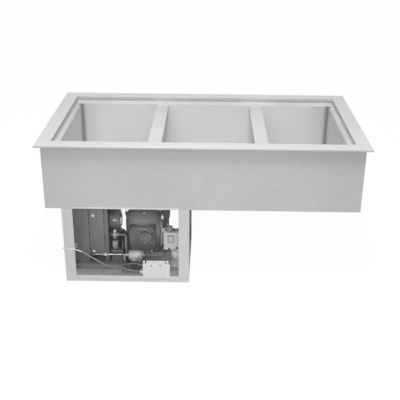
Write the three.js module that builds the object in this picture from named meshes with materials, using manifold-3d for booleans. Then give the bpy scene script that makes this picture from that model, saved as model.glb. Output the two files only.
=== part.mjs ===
// Drop in refrigerated food well with its condensing unit frame.
// Units are millimetres. +Z is up, +Y is the back, and z = 0 is the foot of the frame.
import * as THREE from 'three';
import { mergeVertices } from 'three/addons/utils/BufferGeometryUtils.js';
import Module from 'manifold-3d';

const wasm = await Module();
wasm.setup();

// Well: overall sizes
const overallHeight = 532;
const rimWidth = 1143;
const rimDepth = 650;
const frameHeight = 293;
const clearance = 0.3;

// Well: rim, ledge and liner
const rimSheet = 1.5;
const rimLip = 7;
const returnHeight = 12;
const rimSide = 49.5;
const rimFront = 53;
const ledgeDrop = 28;
const ledgeWidth = 16;
const breakerLedge = 8;
const breakerFace = 8;
const breakerWall = 3.5;
const breakerSheet = 3;
const grooveDepth = 3.5;
const linerSheet = 1.2;
const linerLip = 7.7;
const linerCorner = 20;
const coveRadius = 12;
const floorFoam = 28.7;

// Well: casing
const casingInset = 19;
const casingSheet = 1.2;
const casingReturn = 15;
const trayLip = 15;

// Well: adapter bars
const barWidth = 50;
const barSheet = 1.2;
const barWeb = 20;
const barCrank = 2.5;
const tabWidth = 44;
const tabReach = 13;
const barFold = 3;

// Well: drain
const drainPipe = 16;
const drainBore = 13;
const drainRim = 28;
const drainRimSheet = 2.2;
const drainTail = 50;
const locknutReach = 24;
const locknutHeight = 10;
const strainerReach = 24;
const strainerSheet = 1.7;
const strainerPerforation = 3;
const strainerHandle = 8;

// Frame
const frameInset = 56.5;
const frameWidth = 450;
const frameDepth = 362;
const legFace = 38;
const legGauge = 2;
const railHeight = 25;
const railLip = 14;
const railFoot = 20;
const sideRailLip = 8;
const panSheet = 1.5;
const panLip = 10;

// Tubes and leads
const tubeRadius = 4.8;
const smallTubeRadius = 3.2;
const tubeBend = 14;
const leadRadius = 2.4;
const leadBend = 12;
const powerLeadRadius = 4;
const sleeveRadius = 13;
const sleeveTip = 9;
const coilTurns = 6;

// Condensing unit
const unitSheet = 2;
const shroudSheet = 1.5;
const compressorSheet = 3;
const seamRidge = 2.5;
const footSheet = 3;
const returnBendRadius = 10;
const returnTubeRadius = 4;
const returnBendCount = 5;
const bladeCount = 5;
const bladeSheet = 1.6;
const hubRadius = 13;
const shaftRadius = 4;
const receiverRadius = 24.5;
const saddleHeight = 10;
const drierRadius = 18.5;
const drierNeck = 5.5;
const strainerBarrel = 11.5;
const valveBody = 8;
const valveArm = 5.5;
const stemRadius = 4;
const capRadius = 7;
const capHeight = 12;
const wireRadius = 1.6;
const boxSheet = 1.2;
const knobRadius = 12.5;
const knobHeight = 19;
const spindleRadius = 3;
const junctionDepth = 23;
const junctionHeight = 52;
const junctionSheet = 1.6;
const junctionOverlap = 6;
const connectorRadius = 8;
const connectorLength = 24;
const tieBand = 1.2;
const tieHeight = 4;
const tieTail = 6;

// Where things stand in the frame, as shares of its width, depth and height
const unitBaseShares = {
  leftShare: 0.018, rightShare: 0.969, frontShare: 0.238, backShare: 0.978, topShare: 0.0614,
};
const condenserShares = {
  leftShare: 0.0267, rightShare: 0.1644, frontShare: 0.3315, backShare: 0.9448, topShare: 0.9556,
};
const shroudShares = {
  rightShare: 0.2867, frontShare: 0.3066, backShare: 0.9696, bottomShare: 0.198, topShare: 0.84,
};
const fanShares = {
  yShare: 0.6133, zShare: 0.4983, throatShare: 0.28,
  bladeShare: 0.262, leftShare: 0.2178, rightShare: 0.2756,
};
const motorShares = { rightShare: 0.4167, radiusShare: 0.1365, armShare: 0.328, discShare: 0.085 };
const compressorShares = {
  leftShare: 0.4644, rightShare: 0.7533, frontShare: 0.3204, backShare: 0.6796,
};
const compressorLevelShares = {
  footShare: 0.116, bottomShare: 0.1365, seamShare: 0.6416, topShare: 0.785,
};
const footShares = { leftShare: 0.4378, rightShare: 0.78, frontShare: 0.3453, backShare: 0.6547 };
const coverShares = {
  leftShare: 0.5022, rightShare: 0.7156, frontShare: 0.2514, backShare: 0.3895,
};
const coverLevelShares = { bottomShare: 0.2048, shoulderShare: 0.36, topShare: 0.6007 };
const relayShares = { xShare: 0.6345, zShare: 0.468, radiusShare: 0.082 };
const bailShares = { leftShare: 0.5778, rightShare: 0.6956, highShare: 0.5853, lowShare: 0.5404 };
const valveShares = {
  xShare: 0.3756, yShare: 0.326, armShare: 0.4539, lowShare: 0.3754, highShare: 0.488, leftShare: 0.3289,
};
const shelfShares = {
  leftShare: 0.3356, rightShare: 0.4378, frontShare: 0.2845, backShare: 0.3757, topShare: 0.244,
};
const tubeShares = {
  riserShare: 0.4644, liquidShare: 0.1672, lowShare: 0.1092, highLineShare: 0.9044, backShare: 0.9061,
};
const drierShares = { leftShare: 0.5, rightShare: 0.6178, yShare: 0.1602, zShare: 0.273 };
const suctionShares = {
  xShare: 0.8022, yShare: 0.4586, lowXShare: 0.7689, bendShare: 0.5461, kneeShare: 0.4505, endShare: 0.256,
};
const sleeveShares = { bottomShare: 0.5734, shoulderShare: 0.7338 };
const dischargeShares = { yShare: 0.7762, zShare: 0.5119 };
const expansionShares = { xShare: 0.8044, yShare: 0.8785, bottomShare: 0.785, topShare: 0.8805 };
const receiverShares = { xShare: 0.8867, frontShare: 0.2928, backShare: 0.6796 };
const controlShares = {
  leftShare: 0.7889, rightShare: 0.9467, frontShare: 0.1602, backShare: 0.2597,
};
const controlLevelShares = { bottomShare: 0.3584, topShare: 0.5973 };
const controlPostShares = { leftShare: 0.9111, rightShare: 0.9556 };
const knobShares = { xShare: 0.8389, yShare: 0.2044 };
const junctionShares = {
  leftShare: 0.6533, rightShare: 0.8089, coverLeftShare: 0.6244, coverRightShare: 0.8444,
};
const barShares = { leftShare: -0.1648, rightShare: 0.1983 };
const drainShare = 0.115;
const roundShare = 0.92;

// How finely curves are drawn
const roundSides = 24;
const smallSides = 12;
const tubeSides = 8;
const bendSteps = 3;
const cornerSteps = 3;
const weldDistance = 1e-4;

// Places worked out from the sizes
const rimTop = overallHeight;
const rimUnder = rimTop - rimSheet;
const openingWidth = rimWidth - rimSide * 2;
const openingDepth = rimDepth - rimFront * 2;
const ledgeTop = rimTop - ledgeDrop;
const casingBottom = frameHeight + clearance;
const casingTop = rimUnder - clearance;
const casingHalfX = rimWidth / 2 - casingInset;
const casingHalfY = rimDepth / 2 - casingInset;
const trayHalfX = casingHalfX - casingSheet - clearance;
const trayHalfY = casingHalfY - (casingSheet + clearance) * 2;
const foamHalfX = trayHalfX - casingSheet - clearance;
const foamHalfY = trayHalfY - casingSheet - clearance;
const foamBottom = casingBottom + casingSheet + clearance;
const linerFloor = foamBottom + floorFoam + clearance + linerSheet;
const linerHalfX = openingWidth / 2 - ledgeWidth;
const linerHalfY = openingDepth / 2 - ledgeWidth;
const coilHalfX = linerHalfX + linerSheet + clearance + tubeRadius;
const coilHalfY = linerHalfY + linerSheet + clearance + tubeRadius;
const foamInnerX = coilHalfX + tubeRadius + clearance;
const foamInnerY = coilHalfY + tubeRadius + clearance;
const breakerOutside = grooveDepth + breakerWall;
const frameLeft = -casingHalfX + frameInset;
const frameRight = frameLeft + frameWidth;
const frameFront = -casingHalfY;
const frameBack = frameFront + frameDepth;
const panFloor = legGauge + clearance + panSheet;

const across = (share) => frameLeft + share * frameWidth;
const inward = (share) => frameFront + share * frameDepth;
const upward = (share) => share * frameHeight;

const baseTop = upward(unitBaseShares.topShare);
const unitFloor = baseTop + clearance;
const drainX = rimWidth * drainShare;
const linerUnder = linerFloor - linerSheet;
const tailLevel = linerUnder - clearance - tubeRadius - wireRadius;

// Surfaces: closed geometries and their joins and cuts

function signedVolume(geometry) {
  const position = geometry.getAttribute('position');
  const index = geometry.index.array;
  const [a, b, c] = [new THREE.Vector3(), new THREE.Vector3(), new THREE.Vector3()];
  let total = 0;
  for (let i = 0; i < index.length; i += 3) {
    a.fromBufferAttribute(position, index[i]);
    b.fromBufferAttribute(position, index[i + 1]);
    c.fromBufferAttribute(position, index[i + 2]);
    total += a.dot(b.cross(c));
  }
  return total;
}

function outward(geometry) {
  const bare = new THREE.BufferGeometry();
  bare.setAttribute('position', geometry.getAttribute('position').clone());
  if (geometry.index) {
    bare.setIndex(geometry.index.clone());
  }
  const welded = mergeVertices(bare, weldDistance);
  const index = welded.index.array;
  const kept = [];
  for (let i = 0; i < index.length; i += 3) {
    const [a, b, c] = [index[i], index[i + 1], index[i + 2]];
    if (a !== b && b !== c && c !== a) {
      kept.push(a, b, c);
    }
  }
  welded.setIndex(kept);
  if (signedVolume(welded) < 0) {
    for (let i = 0; i < kept.length; i += 3) {
      [kept[i], kept[i + 1]] = [kept[i + 1], kept[i]];
    }
    welded.setIndex(kept);
  }
  return welded;
}

function solidOf(geometry) {
  const closed = outward(geometry);
  const vertProperties = new Float32Array(closed.getAttribute('position').array);
  const triVerts = new Uint32Array(closed.index.array);
  return new wasm.Manifold(new wasm.Mesh({ numProp: 3, vertProperties, triVerts }));
}

function geometryOf(solid) {
  const mesh = solid.getMesh();
  const geometry = new THREE.BufferGeometry();
  geometry.setAttribute('position', new THREE.BufferAttribute(new Float32Array(mesh.vertProperties), 3));
  geometry.setIndex(Array.from(mesh.triVerts));
  return geometry;
}

function join(...pieces) {
  return geometryOf(pieces.map(solidOf).reduce((whole, piece) => whole.add(piece)));
}

function cut(body, ...tools) {
  return geometryOf(tools.map(solidOf).reduce((rest, tool) => rest.subtract(tool), solidOf(body)));
}

function common(body, other) {
  return geometryOf(solidOf(body).intersect(solidOf(other)));
}

function mapped(geometry, place) {
  const moved = geometry.clone();
  const position = moved.getAttribute('position');
  for (let i = 0; i < position.count; i += 1) {
    position.setXYZ(i, ...place(position.getX(i), position.getY(i), position.getZ(i)));
  }
  return outward(moved);
}

function block(x0, x1, y0, y1, z0, z1) {
  const geometry = new THREE.BoxGeometry(x1 - x0, y1 - y0, z1 - z0);
  return outward(geometry.translate((x0 + x1) / 2, (y0 + y1) / 2, (z0 + z1) / 2));
}

function extruded(outline, depth) {
  const shape = new THREE.Shape(outline.map(([u, v]) => new THREE.Vector2(u, v)));
  return new THREE.ExtrudeGeometry(shape, { depth, bevelEnabled: false });
}

function uprightPrism(outline, z0, z1) {
  return mapped(extruded(outline, z1 - z0), (x, y, z) => [x, y, z0 + z]);
}

function deepPrism(outline, y0, y1) {
  return mapped(extruded(outline, y1 - y0), (x, z, y) => [x, y0 + y, z]);
}

function widePrism(outline, x0, x1) {
  return mapped(extruded(outline, x1 - x0), (y, z, x) => [x0 + x, y, z]);
}

function loft(rings, closed = false) {
  const count = rings[0].length;
  const faces = [];
  const spans = closed ? rings.length : rings.length - 1;
  for (let r = 0; r < spans; r += 1) {
    const next = (r + 1) % rings.length;
    for (let i = 0; i < count; i += 1) {
      const j = (i + 1) % count;
      faces.push(r * count + i, r * count + j, next * count + j);
      faces.push(r * count + i, next * count + j, next * count + i);
    }
  }
  const last = (rings.length - 1) * count;
  for (let i = 1; !closed && i < count - 1; i += 1) {
    faces.push(0, i + 1, i);
    faces.push(last, last + i, last + i + 1);
  }
  const geometry = new THREE.BufferGeometry();
  geometry.setAttribute('position', new THREE.Float32BufferAttribute(rings.flat(2), 3));
  geometry.setIndex(faces);
  return outward(geometry);
}

function squareRing(halfX, halfY, z) {
  return [[halfX, -halfY, z], [halfX, halfY, z], [-halfX, halfY, z], [-halfX, -halfY, z]];
}

function roundedRing(halfX, halfY, radius, z, centreX = 0, centreY = 0) {
  const corners = [[1, 1], [-1, 1], [-1, -1], [1, -1]];
  return corners.flatMap(([sx, sy], corner) => {
    const points = [];
    for (let step = 0; step <= cornerSteps; step += 1) {
      const angle = (corner + step / cornerSteps) * Math.PI / 2;
      const x = centreX + sx * (halfX - radius) + radius * Math.cos(angle);
      const y = centreY + sy * (halfY - radius) + radius * Math.sin(angle);
      points.push([x, y, z]);
    }
    return points;
  });
}

function turned(profile, sides = roundSides) {
  const points = profile.map(([r, z]) => new THREE.Vector2(r, z));
  return mapped(new THREE.LatheGeometry(points, sides), (x, y, z) => [z, x, y]);
}

function standing(profile, x, y, sides = roundSides) {
  return turned(profile, sides).translate(x, y, 0);
}

function lyingAcross(profile, y, z, sides = roundSides) {
  return mapped(turned(profile, sides), (a, b, c) => [c, a + y, b + z]);
}

function lyingInward(profile, x, z, sides = roundSides) {
  return mapped(turned(profile, sides), (a, b, c) => [b + x, c, a + z]);
}

function rod(radius, from, to) {
  return [[0, from], [radius, from], [radius, to], [0, to]];
}

// A path of straight runs and round bends
class BentPath extends THREE.Curve {
  constructor(stations) {
    super();
    this.stations = stations;
  }

  stationAt(share) {
    return this.stations[Math.round(share * (this.stations.length - 1))];
  }

  getPointAt(share, target = new THREE.Vector3()) {
    return target.copy(this.stationAt(share).point);
  }

  getTangentAt(share, target = new THREE.Vector3()) {
    return target.copy(this.stationAt(share).tangent);
  }
}

function bentStations(points, bend) {
  const places = points.map(([x, y, z]) => new THREE.Vector3(x, y, z));
  const runs = places.slice(1).map((place, i) => place.clone().sub(places[i]));
  const ways = runs.map((run) => run.clone().normalize());
  const stations = [{ point: places[0], tangent: ways[0] }];
  for (let i = 1; i < places.length - 1; i += 1) {
    const before = ways[i - 1];
    const after = ways[i];
    const angle = before.angleTo(after);
    const half = Math.tan(angle / 2);
    const room = Math.min(runs[i - 1].length(), runs[i].length()) / 2;
    const radius = Math.min(bend, room * roundShare / half);
    const start = places[i].clone().addScaledVector(before, -radius * half);
    const side = after.clone().addScaledVector(before, -Math.cos(angle)).normalize();
    for (let step = 0; step <= bendSteps; step += 1) {
      const turn = angle * step / bendSteps;
      const point = start.clone().addScaledVector(before, radius * Math.sin(turn));
      point.addScaledVector(side, radius * (1 - Math.cos(turn)));
      const tangent = before.clone().multiplyScalar(Math.cos(turn));
      stations.push({ point, tangent: tangent.addScaledVector(side, Math.sin(turn)) });
    }
  }
  stations.push({ point: places.at(-1), tangent: ways.at(-1) });
  return stations;
}

function pipe(points, radius, bend = tubeBend, sides = tubeSides) {
  const stations = bentStations(points, bend);
  const outline = Array.from({ length: sides }, (_, i) => {
    const angle = i * 2 * Math.PI / sides;
    return new THREE.Vector2(radius * Math.cos(angle), radius * Math.sin(angle));
  });
  const extrudePath = new BentPath(stations);
  const steps = stations.length - 1;
  return outward(new THREE.ExtrudeGeometry(new THREE.Shape(outline), { steps, extrudePath }));
}

// Finishes
const finish = (color, roughness, metalness) => {
  return new THREE.MeshStandardMaterial({ color, roughness, metalness, flatShading: true });
};
const stainless = finish(0xd9dad9, 0.32, 0.9);
const linerSteel = finish(0xc6c7c6, 0.4, 0.85);
const breakerPlastic = finish(0xd6d6d3, 0.55, 0);
const galvanised = finish(0xc3c5c7, 0.45, 0.8);
const panSteel = finish(0x6e6f72, 0.6, 0.5);
const darkSteel = finish(0x4a4b4e, 0.5, 0.4);
const shroudGrey = finish(0x77787b, 0.55, 0.3);
const blackPlastic = finish(0x3c3d40, 0.55, 0);
const copper = finish(0xa8a39d, 0.35, 0.9);
const brass = finish(0xb9b6ae, 0.35, 0.9);
const brightSteel = finish(0xd2d3d4, 0.3, 0.9);
const finGrey = finish(0x67686b, 0.6, 0.5);
const foam = finish(0xe2d9b8, 0.9, 0);
const blackFoam = finish(0x434447, 0.9, 0);
const boxGrey = finish(0xbfc1c3, 0.5, 0.5);
const leadWhite = finish(0xd0d0ce, 0.5, 0);
const blackRubber = finish(0x2f3032, 0.8, 0);
const greyKnob = finish(0x8f9092, 0.6, 0);

// Well

function topFlange() {
  const [outerX, outerY] = [rimWidth / 2, rimDepth / 2];
  const [innerX, innerY] = [openingWidth / 2, openingDepth / 2];
  const lipFoot = rimTop - rimLip;
  const returnFoot = rimTop - returnHeight;
  return loft([
    squareRing(outerX, outerY, lipFoot),
    squareRing(outerX, outerY, rimTop),
    squareRing(innerX, innerY, rimTop),
    squareRing(innerX, innerY, returnFoot),
    squareRing(innerX + rimSheet, innerY + rimSheet, returnFoot),
    squareRing(innerX + rimSheet, innerY + rimSheet, rimUnder),
    squareRing(outerX - rimSheet, outerY - rimSheet, rimUnder),
    squareRing(outerX - rimSheet, outerY - rimSheet, lipFoot),
  ], true);
}

// Extruded strip whose ends are mitred; u runs away from the opening
function breakerStrip(along, place) {
  const top = rimUnder - clearance;
  const outline = [
    [-breakerLedge, ledgeTop - breakerSheet],
    [breakerOutside, ledgeTop - breakerSheet],
    [breakerOutside, top],
    [grooveDepth, top],
    [grooveDepth, ledgeTop + breakerFace],
    [0, ledgeTop + breakerFace],
    [0, ledgeTop],
    [-breakerLedge, ledgeTop],
  ];
  return mapped(extruded(outline, 1), (u, z, end) => {
    const reach = (along + u - clearance) * (end === 0 ? -1 : 1);
    return place(reach, u, z);
  });
}

function breakerAcross(side) {
  return breakerStrip(openingWidth / 2, (reach, u, z) => [reach, side * (openingDepth / 2 + u), z]);
}

function breakerInward(side) {
  return breakerStrip(openingDepth / 2, (reach, u, z) => [side * (openingWidth / 2 + u), reach, z]);
}

function coveRings(halfX, halfY, radius, corner, floor) {
  const rings = [];
  for (let step = 0; step <= cornerSteps; step += 1) {
    const angle = step / cornerSteps * Math.PI / 2;
    const inset = radius * (1 - Math.sin(angle));
    const height = floor + radius * (1 - Math.cos(angle));
    rings.push(roundedRing(halfX - inset, halfY - inset, corner - inset, height));
  }
  return rings;
}

function wellLiner() {
  const [x, y] = [linerHalfX, linerHalfY];
  const [outerX, outerY] = [x + linerSheet, y + linerSheet];
  const outerCorner = linerCorner + linerSheet;
  const outside = coveRings(outerX, outerY, coveRadius + linerSheet, outerCorner, linerUnder);
  const inside = coveRings(x, y, coveRadius, linerCorner, linerFloor);
  const shell = loft([
    ...outside,
    roundedRing(outerX, outerY, outerCorner, ledgeTop - linerSheet),
    roundedRing(x + linerLip, y + linerLip, linerSheet, ledgeTop - linerSheet),
    roundedRing(x + linerLip, y + linerLip, linerSheet, ledgeTop),
    roundedRing(x, y, linerCorner, ledgeTop),
    ...inside.reverse(),
  ]);
  const hole = rod(drainPipe + clearance, linerUnder - linerSheet, linerFloor + linerSheet);
  return cut(shell, standing(hole, drainX, 0));
}

function coilLevels() {
  const lowest = linerFloor + coveRadius + tubeRadius * 2;
  const highest = ledgeTop - breakerSheet - tubeRadius * 3;
  const pitch = (highest - lowest) / (coilTurns - 1);
  return { lowest, highest, pitch };
}

// Tube wound round the outside of the liner, with both tails led down through the floor
function evaporatorCoil() {
  const { lowest, highest, pitch } = coilLevels();
  const [x, y] = [coilHalfX, coilHalfY];
  const [outX, outY] = [across(suctionShares.xShare), inward(suctionShares.yShare)];
  const [inX, inY] = [across(expansionShares.xShare), inward(expansionShares.yShare)];
  const points = [[outX, outY, frameHeight - trayLip / 3], [outX, outY, tailLevel]];
  points.push([outX, -y, tailLevel], [outX, -y, lowest]);
  for (let turn = 0; turn < coilTurns; turn += 1) {
    const level = lowest + turn * pitch;
    points.push([x, -y, level], [x, y, level]);
    if (turn < coilTurns - 1) {
      points.push([-x, y, level], [-x, -y, level]);
      points.push([outX - tubeBend * 2, -y, level], [outX + tubeBend * 2, -y, level + pitch]);
    }
  }
  const outside = y + tubeRadius * 2 + clearance * 2;
  points.push([inX, y, highest], [inX, outside + tubeRadius, highest]);
  points.push([inX, outside + tubeRadius, tailLevel], [inX, inY, tailLevel]);
  points.push([inX, inY, upward(expansionShares.topShare) + clearance]);
  return pipe(points, tubeRadius, tubeBend / 2, 6);
}

function insulation() {
  const top = ledgeTop - breakerSheet - clearance;
  const shoulderX = openingWidth / 2 + breakerOutside + clearance;
  const shoulderY = openingDepth / 2 + breakerOutside + clearance;
  const shell = loft([
    squareRing(foamHalfX, foamHalfY, foamBottom),
    squareRing(foamHalfX, foamHalfY, casingTop),
    squareRing(shoulderX, shoulderY, casingTop),
    squareRing(shoulderX, shoulderY, top),
    squareRing(foamInnerX, foamInnerY, top),
    squareRing(foamInnerX, foamInnerY, linerUnder - clearance),
  ]);
  const slot = tubeRadius + clearance * 5;
  const [outX, outY] = [across(suctionShares.xShare), inward(suctionShares.yShare)];
  const [inX, inY] = [across(expansionShares.xShare), inward(expansionShares.yShare)];
  const slotFoot = tailLevel - slot;
  const outside = coilHalfY + tubeRadius * 5;
  const inTop = coilLevels().highest + slot;
  const below = foamBottom - clearance;
  return cut(
    shell,
    block(outX - slot, outX + slot, -foamInnerY - clearance, outY + slot, slotFoot, linerFloor),
    block(inX - slot, inX + slot, inY - slot, outside, slotFoot, linerFloor),
    block(inX - slot, inX + slot, linerHalfY, outside, slotFoot, inTop),
    standing(rod(slot, below, linerFloor), outX, outY, smallSides),
    standing(rod(slot, below, linerFloor), inX, inY, smallSides),
    standing(rod(drainPipe + clearance * 2, below, linerFloor), drainX, 0),
  );
}

function casingAcross(side) {
  const outer = side * casingHalfY;
  const inner = side * (casingHalfY - casingSheet);
  const [y0, y1] = [Math.min(outer, inner), Math.max(outer, inner)];
  return block(-casingHalfX, casingHalfX, y0, y1, casingBottom, casingTop);
}

function casingSide(side) {
  const y = casingHalfY - casingSheet - clearance;
  const outer = casingHalfX;
  const inner = outer - casingSheet;
  const lip = outer - casingReturn;
  const outline = [
    [outer, -y],
    [outer, y],
    [lip, y],
    [lip, y - casingSheet],
    [inner, y - casingSheet],
    [inner, casingSheet - y],
    [lip, casingSheet - y],
    [lip, -y],
  ];
  return uprightPrism(outline.map(([u, v]) => [side * u, v]), casingBottom, casingTop);
}

function casingFloor() {
  const [x, y] = [trayHalfX, trayHalfY];
  const top = casingBottom + trayLip;
  const inside = casingBottom + casingSheet;
  const tray = loft([
    squareRing(x, y, casingBottom),
    squareRing(x, y, top),
    squareRing(x - casingSheet, y - casingSheet, top),
    squareRing(x - casingSheet, y - casingSheet, inside),
  ]);
  const [low, high] = [casingBottom - clearance, inside + clearance];
  const way = tubeRadius + clearance * 4;
  const [outX, outY] = [across(suctionShares.xShare), inward(suctionShares.yShare)];
  const [inX, inY] = [across(expansionShares.xShare), inward(expansionShares.yShare)];
  return cut(
    tray,
    standing(rod(way, low, high), outX, outY, smallSides),
    standing(rod(way, low, high), inX, inY, smallSides),
    standing(rod(drainPipe + clearance * 2, low, high), drainX, 0),
  );
}

// Folded channel with narrower tabs that rest on the ledge
function adapterBar(centreShare) {
  const centre = openingWidth * centreShare;
  const half = barWidth / 2;
  const tabTop = ledgeTop + clearance + barSheet;
  const top = tabTop - barCrank;
  const foot = top - barWeb;
  const end = linerHalfY - barSheet;
  const fold = barFold;
  const outline = [
    [-half, foot],
    [-half + barSheet, foot],
    [-half + barSheet, top - fold],
    [-half + fold, top - barSheet],
    [half - fold, top - barSheet],
    [half - barSheet, top - fold],
    [half - barSheet, foot],
    [half, foot],
    [half, top - fold / 2],
    [half - fold / 2, top],
    [-half + fold / 2, top],
    [-half, top - fold / 2],
  ];
  const channel = deepPrism(outline.map(([x, z]) => [centre + x, z]), -end, end);
  const reach = end + tabReach;
  const bend = end - barSheet;
  const tab = [
    [reach, tabTop - barSheet],
    [reach, tabTop],
    [bend, tabTop],
    [bend, top - barSheet],
    [end, top - barSheet],
    [end, tabTop - barSheet],
  ];
  const [left, right] = [centre - tabWidth / 2, centre + tabWidth / 2];
  const backTab = widePrism(tab, left, right);
  const frontTab = widePrism(tab.map(([y, z]) => [-y, z]), left, right);
  return join(channel, backTab, frontTab);
}

function drainTailpiece() {
  const seat = linerFloor + clearance;
  const foot = frameHeight - drainTail;
  return standing([
    [drainBore, foot],
    [drainPipe, foot],
    [drainPipe, seat],
    [drainRim, seat],
    [drainRim, seat + drainRimSheet],
    [drainBore, seat + drainRimSheet],
    [drainBore, foot],
  ], drainX, 0);
}

function drainLocknut() {
  const top = casingBottom - clearance;
  const foot = top - locknutHeight;
  const inner = drainPipe + clearance;
  const nut = standing(rod(locknutReach, foot, top), drainX, 0, 6);
  return cut(nut, standing(rod(inner, foot - 1, top + 1), drainX, 0));
}

function drainStrainer() {
  const seat = linerFloor + drainRimSheet + clearance * 2;
  const top = seat + strainerSheet;
  const spigot = drainBore - clearance * 2;
  const plate = standing([
    [0, seat],
    [spigot - strainerSheet, seat],
    [spigot - strainerSheet, seat - drainRimSheet],
    [spigot, seat - drainRimSheet],
    [spigot, seat],
    [strainerReach, seat],
    [strainerReach, top],
    [strainerSheet * 2, top],
    [strainerSheet * 2, top + strainerHandle],
    [0, top + strainerHandle],
  ], drainX, 0);
  const ring = (strainerSheet * 2 + spigot - strainerSheet) / 2;
  const holes = Array.from({ length: 6 }, (_, i) => {
    const angle = i * Math.PI / 3;
    const tool = rod(strainerPerforation / 2, seat - 1, top + 1);
    return standing(tool, drainX + ring * Math.cos(angle), ring * Math.sin(angle), 8);
  });
  return cut(plate, ...holes);
}

// Frame

// Angle leg with a tab folded in under the casing
function leg(cornerX, cornerY, wayX, wayY) {
  const edge = (u, v) => [cornerX + wayX * u, cornerY + wayY * v];
  const outline = [
    edge(0, 0),
    edge(legFace, 0),
    edge(legFace, legGauge),
    edge(legGauge, legGauge),
    edge(legGauge, legFace),
    edge(0, legFace),
  ];
  const tab = [edge(0, 0), edge(legFace, 0), edge(legFace, legFace), edge(0, legFace)];
  const shank = uprightPrism(outline, 0, frameHeight);
  return join(shank, uprightPrism(tab, frameHeight - legGauge, frameHeight));
}

// Formed rail: u runs in from its face, with a lip on top and a foot below
function railOutline(lip) {
  return [
    [0, 0],
    [railFoot, 0],
    [railFoot, legGauge],
    [legGauge, legGauge],
    [legGauge, railHeight - legGauge],
    [lip, railHeight - legGauge],
    [lip, railHeight],
    [0, railHeight],
  ];
}

function railAcross(face, way) {
  const outline = railOutline(railLip).map(([u, z]) => [face + way * u, z]);
  const gap = legFace + clearance;
  return widePrism(outline, frameLeft + gap, frameRight - gap);
}

function railInward(face, way) {
  const outline = railOutline(sideRailLip).map(([u, z]) => [face + way * u, z]);
  const gap = legFace + clearance;
  return deepPrism(outline, frameFront + gap, frameBack - gap);
}

function panRing(inset, z) {
  const gap = legGauge + clearance + inset;
  const [x0, x1] = [frameLeft + gap, frameRight - gap];
  const [y0, y1] = [frameFront + gap, frameBack - gap];
  return [[x1, y0, z], [x1, y1, z], [x0, y1, z], [x0, y0, z]];
}

function basePan() {
  const under = panFloor - panSheet;
  return loft([
    panRing(0, under),
    panRing(0, under + panLip),
    panRing(panSheet, under + panLip),
    panRing(panSheet, panFloor),
  ]);
}

// Condensing unit

function unitBase() {
  const { leftShare: left, rightShare: right, frontShare: front, backShare: back } = unitBaseShares;
  const [x0, x1] = [across(left), across(right)];
  const [y0, y1] = [inward(front), inward(back)];
  const foot = panFloor + clearance;
  const [lowX0, lowX1] = [x0 + unitSheet, x1 - unitSheet];
  const [lowY0, lowY1] = [y0 + unitSheet, y1 - unitSheet];
  const plate = block(x0, x1, y0, y1, foot, baseTop);
  return cut(plate, block(lowX0, lowX1, lowY0, lowY1, foot - 1, baseTop - unitSheet));
}

function condenserCoil() {
  const {
    leftShare: left, rightShare: right, frontShare: front, backShare: back, topShare: top,
  } = condenserShares;
  const [x0, x1] = [across(left), across(right)];
  const [y0, y1] = [inward(front), inward(back)];
  const [z0, z1] = [unitFloor, upward(top)];
  const pack = block(x0, x1, y0, y1, z0, z1);
  const pitch = (z1 - z0) / returnBendCount;
  const reach = returnBendRadius - returnTubeRadius;
  const bends = [];
  for (let i = 0; i < returnBendCount; i += 1) {
    const middle = z0 + (i + 1 / 2) * pitch;
    const [low, high] = [middle - returnBendRadius, middle + returnBendRadius];
    const x = (x0 + x1) / 2;
    for (const [face, way] of [[y0, -1], [y1, 1]]) {
      const [start, end] = [face - way * reach, face + way * reach];
      const path = [[x, start, low], [x, end, low], [x, end, high], [x, start, high]];
      bends.push(pipe(path, returnTubeRadius, returnBendRadius, 6));
    }
  }
  return join(pack, ...bends);
}

function fanShroud() {
  const {
    rightShare: right, frontShare: front, backShare: back, bottomShare: bottom, topShare: top,
  } = shroudShares;
  const [x0, x1] = [across(condenserShares.rightShare) + clearance, across(right)];
  const [y0, y1] = [inward(front), inward(back)];
  const [z0, z1] = [upward(bottom), upward(top)];
  const s = shroudSheet;
  const hood = block(x0, x1, y0, y1, z0, z1);
  const inside = block(x0 - s, x1 - s, y0 + s, y1 - s, z0 + s, z1 - s);
  const throat = rod(upward(fanShares.throatShare), x0, x1 + s);
  return cut(hood, inside, lyingAcross(throat, inward(fanShares.yShare), upward(fanShares.zShare)));
}

function bracketFaces() {
  const left = across(shroudShares.rightShare) + clearance;
  return [left, left + unitSheet];
}

function fanMotorBracket() {
  const [left, right] = bracketFaces();
  const [y, z] = [inward(fanShares.yShare), upward(fanShares.zShare)];
  const arm = upward(motorShares.armShare);
  const width = shaftRadius * 2;
  const spokes = [1, -1].map((way) => {
    const bar = block(left, right, -arm, arm, -width, width);
    return bar.rotateX(way * Math.PI / 4).translate(0, y, z);
  });
  const disc = lyingAcross(rod(upward(motorShares.discShare), left, right), y, z);
  const hole = lyingAcross(rod(shaftRadius * 2, left - 1, right + 1), y, z, smallSides);
  return cut(join(disc, ...spokes), hole);
}

function fanMotor() {
  const left = bracketFaces()[1] + clearance;
  const right = across(motorShares.rightShare);
  const radius = upward(motorShares.radiusShare);
  const step = (right - left) / 8;
  return lyingAcross([
    [0, left],
    [radius - step, left],
    [radius, left + step],
    [radius, right - step * 2],
    [radius - step / 2, right - step],
    [radius - step * 2, right - step / 3],
    [shaftRadius * 2, right - step / 3],
    [shaftRadius * 2, right],
    [0, right],
  ], inward(fanShares.yShare), upward(fanShares.zShare));
}

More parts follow.
